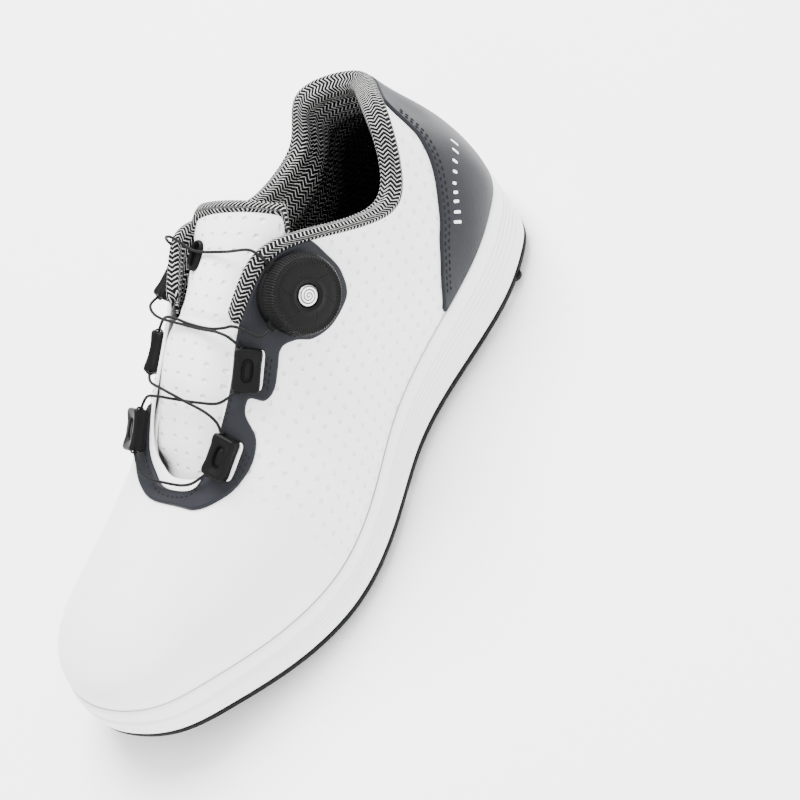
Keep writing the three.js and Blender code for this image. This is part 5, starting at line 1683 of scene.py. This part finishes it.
# ---------------------------------------------------------------- lacing dial
# A black nylon housing screwed to the eyestay, with two ports for the lace. Inside are the spool, the
# axle and the ratchet disc; the knob has a ribbed rim and a turned steel cap, and pulls out to open.
DIAL_CENTRE = np.array([131.6, 31.9, 108.4])
DIAL_AXIS = np.array([0.13, 0.93, 0.34])
DIAL_AXIS /= np.linalg.norm(DIAL_AXIS)
dial_toe = np.array([1.0, 0.0, 0.0]) - DIAL_AXIS * DIAL_AXIS[0]
dial_toe /= np.linalg.norm(dial_toe)
dial_side = np.cross(DIAL_AXIS, dial_toe)


def on_dial(local):
    """Points given along the dial's two level directions and its axis, put in the layout."""
    return DIAL_CENTRE + local[..., :1] * dial_toe + local[..., 1:2] * dial_side + local[..., 2:] * DIAL_AXIS


def turned_part(profile, count=96, ripple=None, closed=False, look=0):
    """A profile of (radius, height) turned about the dial's axis. ripple(angle, row) is added to the
    radius. A closed profile makes a ring."""
    profile = np.array(profile, dtype=float)
    angle = np.arange(count) * 2 * math.pi / count
    radius = profile[:, :1] + (0 if ripple is None else ripple(angle[None], np.arange(len(profile))[:, None]))
    local = np.stack(
        [radius * np.cos(angle), radius * np.sin(angle), np.repeat(profile[:, 1:], count, axis=1)], axis=-1
    )
    return loft(on_dial(local), along=closed, ends="fan", place=local, look=look)


housing = turned_part([
    (14.9, -5.0), (15.6, -4.4), (15.8, -1.0), (15.6, 0.9), (15.2, 1.7), (14.6, 2.1), (13.2, 2.2), (12.7, 2.6),
    (12.6, 6.3), (12.4, 6.6), (11.2, 6.6), (11.0, 6.4), (11.0, 1.6), (2.6, 1.6), (2.6, -5.0),
], closed=True)


def port_part(degrees):
    """A rounded spout for the lace: a squarish tube that stands out of the housing and narrows."""
    angle = math.radians(degrees)
    out = np.array([math.cos(angle), math.sin(angle), 0.0])
    side = np.array([-math.sin(angle), math.cos(angle), 0.0])
    around = np.arange(32) * math.pi / 16
    c, s = np.cos(around), np.sin(around)
    rows = [
        (11.4, 3.4, 1.9), (14.0, 3.1, 1.8), (16.6, 2.4, 1.55), (17.6, 1.9, 1.35), (17.9, 1.4, 1.1),
        (17.6, 0.95, 0.85), (15.0, 0.8, 0.75),
    ]
    rings = [
        out * reach + side * (np.sign(c) * np.abs(c) ** 0.6 * half)[:, None]
        + np.array([0, 0, 1.0]) * (3.2 + np.sign(s) * np.abs(s) ** 0.6 * tall)[:, None]
        for reach, half, tall in rows
    ]
    return loft(on_dial(np.stack(rings)), ends="fan")


make_piece(
    "dial_housing_moulding", [housing, port_part(-3), port_part(-92)], [satin_nylon.material],
    "shoe", "black_plastic", "dial_base", sharp=45,
)
carry_over("dial_axle", shank_steel)
carry_over("dial_spring", shank_steel)
carry_over("dial_spool", satin_nylon)
carry_over("dial_ratchet", satin_nylon)

KNURL_TEETH = 90


def knob_ripple(angle, row):
    """Fine teeth round the knob's wall: a pointed wave of the angle on the rows of the wall."""
    wave = np.abs(np.mod(angle * KNURL_TEETH / (2 * math.pi), 1.0) - 0.5) * 2
    strength = np.interp(row, [0, 3, 4, 5, 9, 11, 12, 30], [0, 0, 0.25, 0.38, 0.38, 0.3, 0.0, 0.0])
    return strength * (wave - 0.5)


knob_profile = [
    (13.9, 9.4), (14.3, 8.8), (14.5, 5.2), (15.0, 4.9), (16.0, 4.9), (16.35, 5.2), (16.4, 6.0),
    (16.2, 7.2), (15.8, 8.6),
    (15.45, 9.7), (15.2, 10.3), (14.95, 10.75), (14.7, 11.0), (14.3, 11.1), (14.0, 10.95), (12.4, 10.98),
    (12.1, 11.15),
    (9.0, 11.3), (6.9, 11.4), (6.6, 11.65), (6.1, 11.7), (5.8, 11.45), (5.0, 11.35), (4.7, 11.1),
    (4.5, 10.6), (1.0, 10.5),
]
knob_wall = turned_part(knob_profile, count=KNURL_TEETH * 4, ripple=knob_ripple)

knob_nylon = Finish("knob_nylon", (0.0035, 0.0035, 0.004), 0.38, Specular_IOR_Level=0.07)
grained(knob_nylon, 0.0005, 0.00002, (0.003, 0.003, 0.003), (0.005, 0.005, 0.005), 0.3, 0.44)
knob_split = knob_nylon.node("ShaderNodeSeparateXYZ", Vector=knob_nylon.place())
knob_angle = knob_nylon.math("ARCTAN2", knob_split.outputs[1], knob_split.outputs[0])
knob_reach = knob_nylon.node("ShaderNodeVectorMath", operation="LENGTH", in0=knob_nylon.node(
    "ShaderNodeCombineXYZ", X=knob_split.outputs[0], Y=knob_split.outputs[1]).outputs[0])
# Six curved blades: thin lines whose angle swings a little with the radius, between centre and rim.
swing = knob_nylon.math("MULTIPLY_ADD", knob_reach.outputs["Value"], 0.055, knob_angle)
sixths = knob_nylon.math("MULTIPLY", swing, 6 / (2 * math.pi))
sixth = knob_nylon.math("FRACT", sixths)
from_line = knob_nylon.math("SUBTRACT", sixth, 0.5)
line_gap = knob_nylon.math("ABSOLUTE", from_line)
line_width = knob_nylon.math("MULTIPLY", line_gap, knob_reach.outputs["Value"])
blade_line = knob_nylon.ramp(line_width, 0.10, 0.30, -1.0, 0.0)
inside_rim = knob_nylon.ramp(knob_reach.outputs["Value"], 11.7, 11.9, 1.0, 0.0)
outside_hub = knob_nylon.ramp(knob_reach.outputs["Value"], 6.9, 7.1)
on_face = knob_nylon.math("MULTIPLY", inside_rim, outside_hub)
blades = knob_nylon.math("MULTIPLY", blade_line, on_face)
# Fine radial ticks on the ring inside the rim.
ticks = knob_nylon.math("MULTIPLY", knob_angle, float(KNURL_TEETH))
tick_wave = knob_nylon.math("SINE", ticks)
on_ring = knob_nylon.ramp(knob_reach.outputs["Value"], 12.0, 12.3)
tick_height = knob_nylon.math("MULTIPLY", tick_wave, on_ring)
tick_soft = knob_nylon.math("MULTIPLY_ADD", tick_height, 0.45, blades)
knob_nylon.bump(tick_soft, 0.0003)
make_piece(
    "dial_ribbed_knob", [knob_wall], [knob_nylon.material], "knob", "black_plastic", "dial_knob", sharp=50,
)

# The cap: a turned steel disc with a spiral groove filled black.
cap_steel = Finish("cap_steel", (0.72, 0.72, 0.74), 0.28, metallic=1.0)
cap_split = cap_steel.node("ShaderNodeSeparateXYZ", Vector=cap_steel.place())
cap_angle = cap_steel.math("ARCTAN2", cap_split.outputs[1], cap_split.outputs[0])
cap_flat = cap_steel.node("ShaderNodeCombineXYZ", X=cap_split.outputs[0], Y=cap_split.outputs[1])
cap_reach = cap_steel.node("ShaderNodeVectorMath", operation="LENGTH", in0=cap_flat.outputs[0])
cap_turns = cap_steel.math("DIVIDE", cap_reach.outputs["Value"], 1.25)
cap_share = cap_steel.math("MULTIPLY_ADD", cap_angle, 1 / (2 * math.pi), cap_turns)
cap_phase = cap_steel.math("FRACT", cap_share)
cap_middle = cap_steel.math("SUBTRACT", cap_phase, 0.5)
cap_off = cap_steel.math("ABSOLUTE", cap_middle)
cap_groove = cap_steel.ramp(cap_off, 0.17, 0.22, 1.0, 0.0)
cap_steel.feed("Base Color", cap_steel.blend(cap_groove, (0.74, 0.74, 0.76), (0.015, 0.015, 0.017)))
cap_metal = cap_steel.math("SUBTRACT", 1.0, cap_groove)
cap_steel.feed("Metallic", cap_metal)
cap_down = cap_steel.math("MULTIPLY", cap_groove, -1.0)
cap_steel.bump(cap_down, 0.0002)
cap_part = turned_part([
    (2.0, 10.55), (4.0, 10.6), (4.15, 10.8), (4.15, 11.35), (4.0, 11.6), (3.6, 11.75), (2.6, 11.88),
    (1.4, 11.95), (0.4, 11.97),
], count=72)
make_piece("dial_spiral_cap", [cap_part], [cap_steel.material], "knob", "steel", "dial_cap", sharp=50)

# ---------------------------------------------------------------- lace
# A thin black braided cord with a steel core, held along its whole way by the guides, the keeper and
# the dial. It leaves the upper port, crosses the tongue five times and comes back to the lower port.
LACE_DIAMETER = 1.2
LACE_ROUTE = [
    [131.6, 31.1, 120.1], [131.4, 29.2, 125.5], [131, 28.2, 128.2], [130.6, 25.6, 131.2],
    [130.3, 22.4, 131.9],
    [130.6, 6, 126.6], [131.2, -12.4, 122.4], [130.6, -17.5, 122.1], [129.8, -22.3, 124.1],
    [129.4, -26.3, 125.5],
    [129.2, -30.2, 124.2], [128.8, -32.3, 120.8], [128.8, -32, 117.4],
    [131.6, -30, 112.4], [134.3, -30.8, 108.3], [138.1, -31.7, 105.7], [142.6, -32.7, 105.3],
    [147.3, -33.5, 106.9],
    [154, -30.4, 110.6], [156.4, -27.4, 110.4], [157.6, -23.2, 109.9], [158, -10, 110.3], [158.5, 3, 111.8],
    [158.9, 13, 113.8], [159.6, 19.4, 113.8], [160.1, 22.4, 111.6],
    [160.5, 23.7, 109], [162.3, 26, 105], [165.4, 27, 101.6], [169.5, 26.3, 99.5], [174, 24.3, 98.7],
    [177.6, 21.9, 98.2], [180.4, 18, 97.2], [182.2, 8, 96.4], [183.6, -5, 96], [184.6, -14, 96],
    [185.6, -19.2, 95.2],
    [189.8, -23.3, 90.5], [192.9, -25.6, 87.2], [196.6, -26.2, 84.5], [200.7, -24.7, 82.9],
    [204.6, -21.7, 82.2],
    [208.5, -18.2, 81], [211, -15.6, 79], [211.8, -11.5, 77.4], [210.8, -4, 76], [209.6, 5, 76.2],
    [208.2, 10.5, 77.8], [206.3, 13.9, 79.4],
    [203.2, 17.2, 80.7], [200.1, 20.9, 82], [196.4, 23, 84], [192.5, 22.7, 86.5], [188.9, 20.6, 89.3],
    [186.4, 18.4, 92], [185, 14, 95], [183.8, 2, 97.8], [182.2, -10, 98.8], [180.8, -18, 98.4],
    [178.9, -21.6, 97.2],
    [175.3, -25.3, 95.6], [170.9, -27.5, 94.9], [166.5, -28.7, 95.7], [162.7, -28.5, 98.4],
    [159.7, -27.1, 102.2],
    [157.4, -25, 105.4], [156.3, -21.6, 108.6], [156.2, -16.5, 110.2], [157.4, -4, 111.2], [157.6, 8, 112.6],
    [156.6, 15.4, 114.2], [155.6, 20, 115.4], [154.9, 24, 114], [154.6, 27.6, 111.6], [153.9, 30.6, 109.6],
    [150.8, 32.3, 109.6], [148.8, 32.6, 109.6], [143.2, 33.4, 109.6],
]


def lace_part():
    """A round tube of twelve points along the smooth route. Its section stands on two directions
    square to the route, made from a fixed one that the route never follows."""
    route = smooth_line(LACE_ROUTE, 900)
    tangent = np.gradient(route, axis=0)
    tangent /= np.linalg.norm(tangent, axis=1, keepdims=True)
    fixed = np.array([0.62, 0.25, 0.74])
    side = np.cross(tangent, fixed)
    side /= np.linalg.norm(side, axis=1, keepdims=True)
    other = np.cross(tangent, side)
    angle = np.arange(12) * math.pi / 6
    section = side[:, None] * np.cos(angle)[None, :, None] + other[:, None] * np.sin(angle)[None, :, None]
    points = route[:, None] + section * LACE_DIAMETER / 2
    run = length_along(route)[:, None] + 0 * angle[None]
    place = np.stack([run, 0 * run + angle[None], 0 * run], axis=-1)
    return loft(points, ends="fan", place=place)


cord_finish = Finish("braided_cord", (0.005, 0.005, 0.005), 0.5, Specular_IOR_Level=0.12)
cord_split = cord_finish.node("ShaderNodeSeparateXYZ", Vector=cord_finish.place())
cord_twist = cord_finish.math("MULTIPLY", cord_split.outputs[0], 5.0)
cord_left = cord_finish.math("ADD", cord_twist, cord_split.outputs[1])
cord_right = cord_finish.math("SUBTRACT", cord_twist, cord_split.outputs[1])
cord_one = cord_finish.math("SINE", cord_left)
cord_two = cord_finish.math("SINE", cord_right)
cord_weave = cord_finish.math("MULTIPLY", cord_one, cord_two)
cord_finish.bump(cord_weave, 0.00008)
# The braid's colour follows its bump: lighter on the raised strands and darker between them, a painted
# highlight and painted shade.
cord_finish.feed("Base Color", cord_finish.blend(cord_weave, (0.0035, 0.0035, 0.0035), (0.009, 0.009, 0.009)))
make_piece("lace_braided_cord", [lace_part()], [cord_finish.material], "shoe", "cord", "lace", sharp=70)
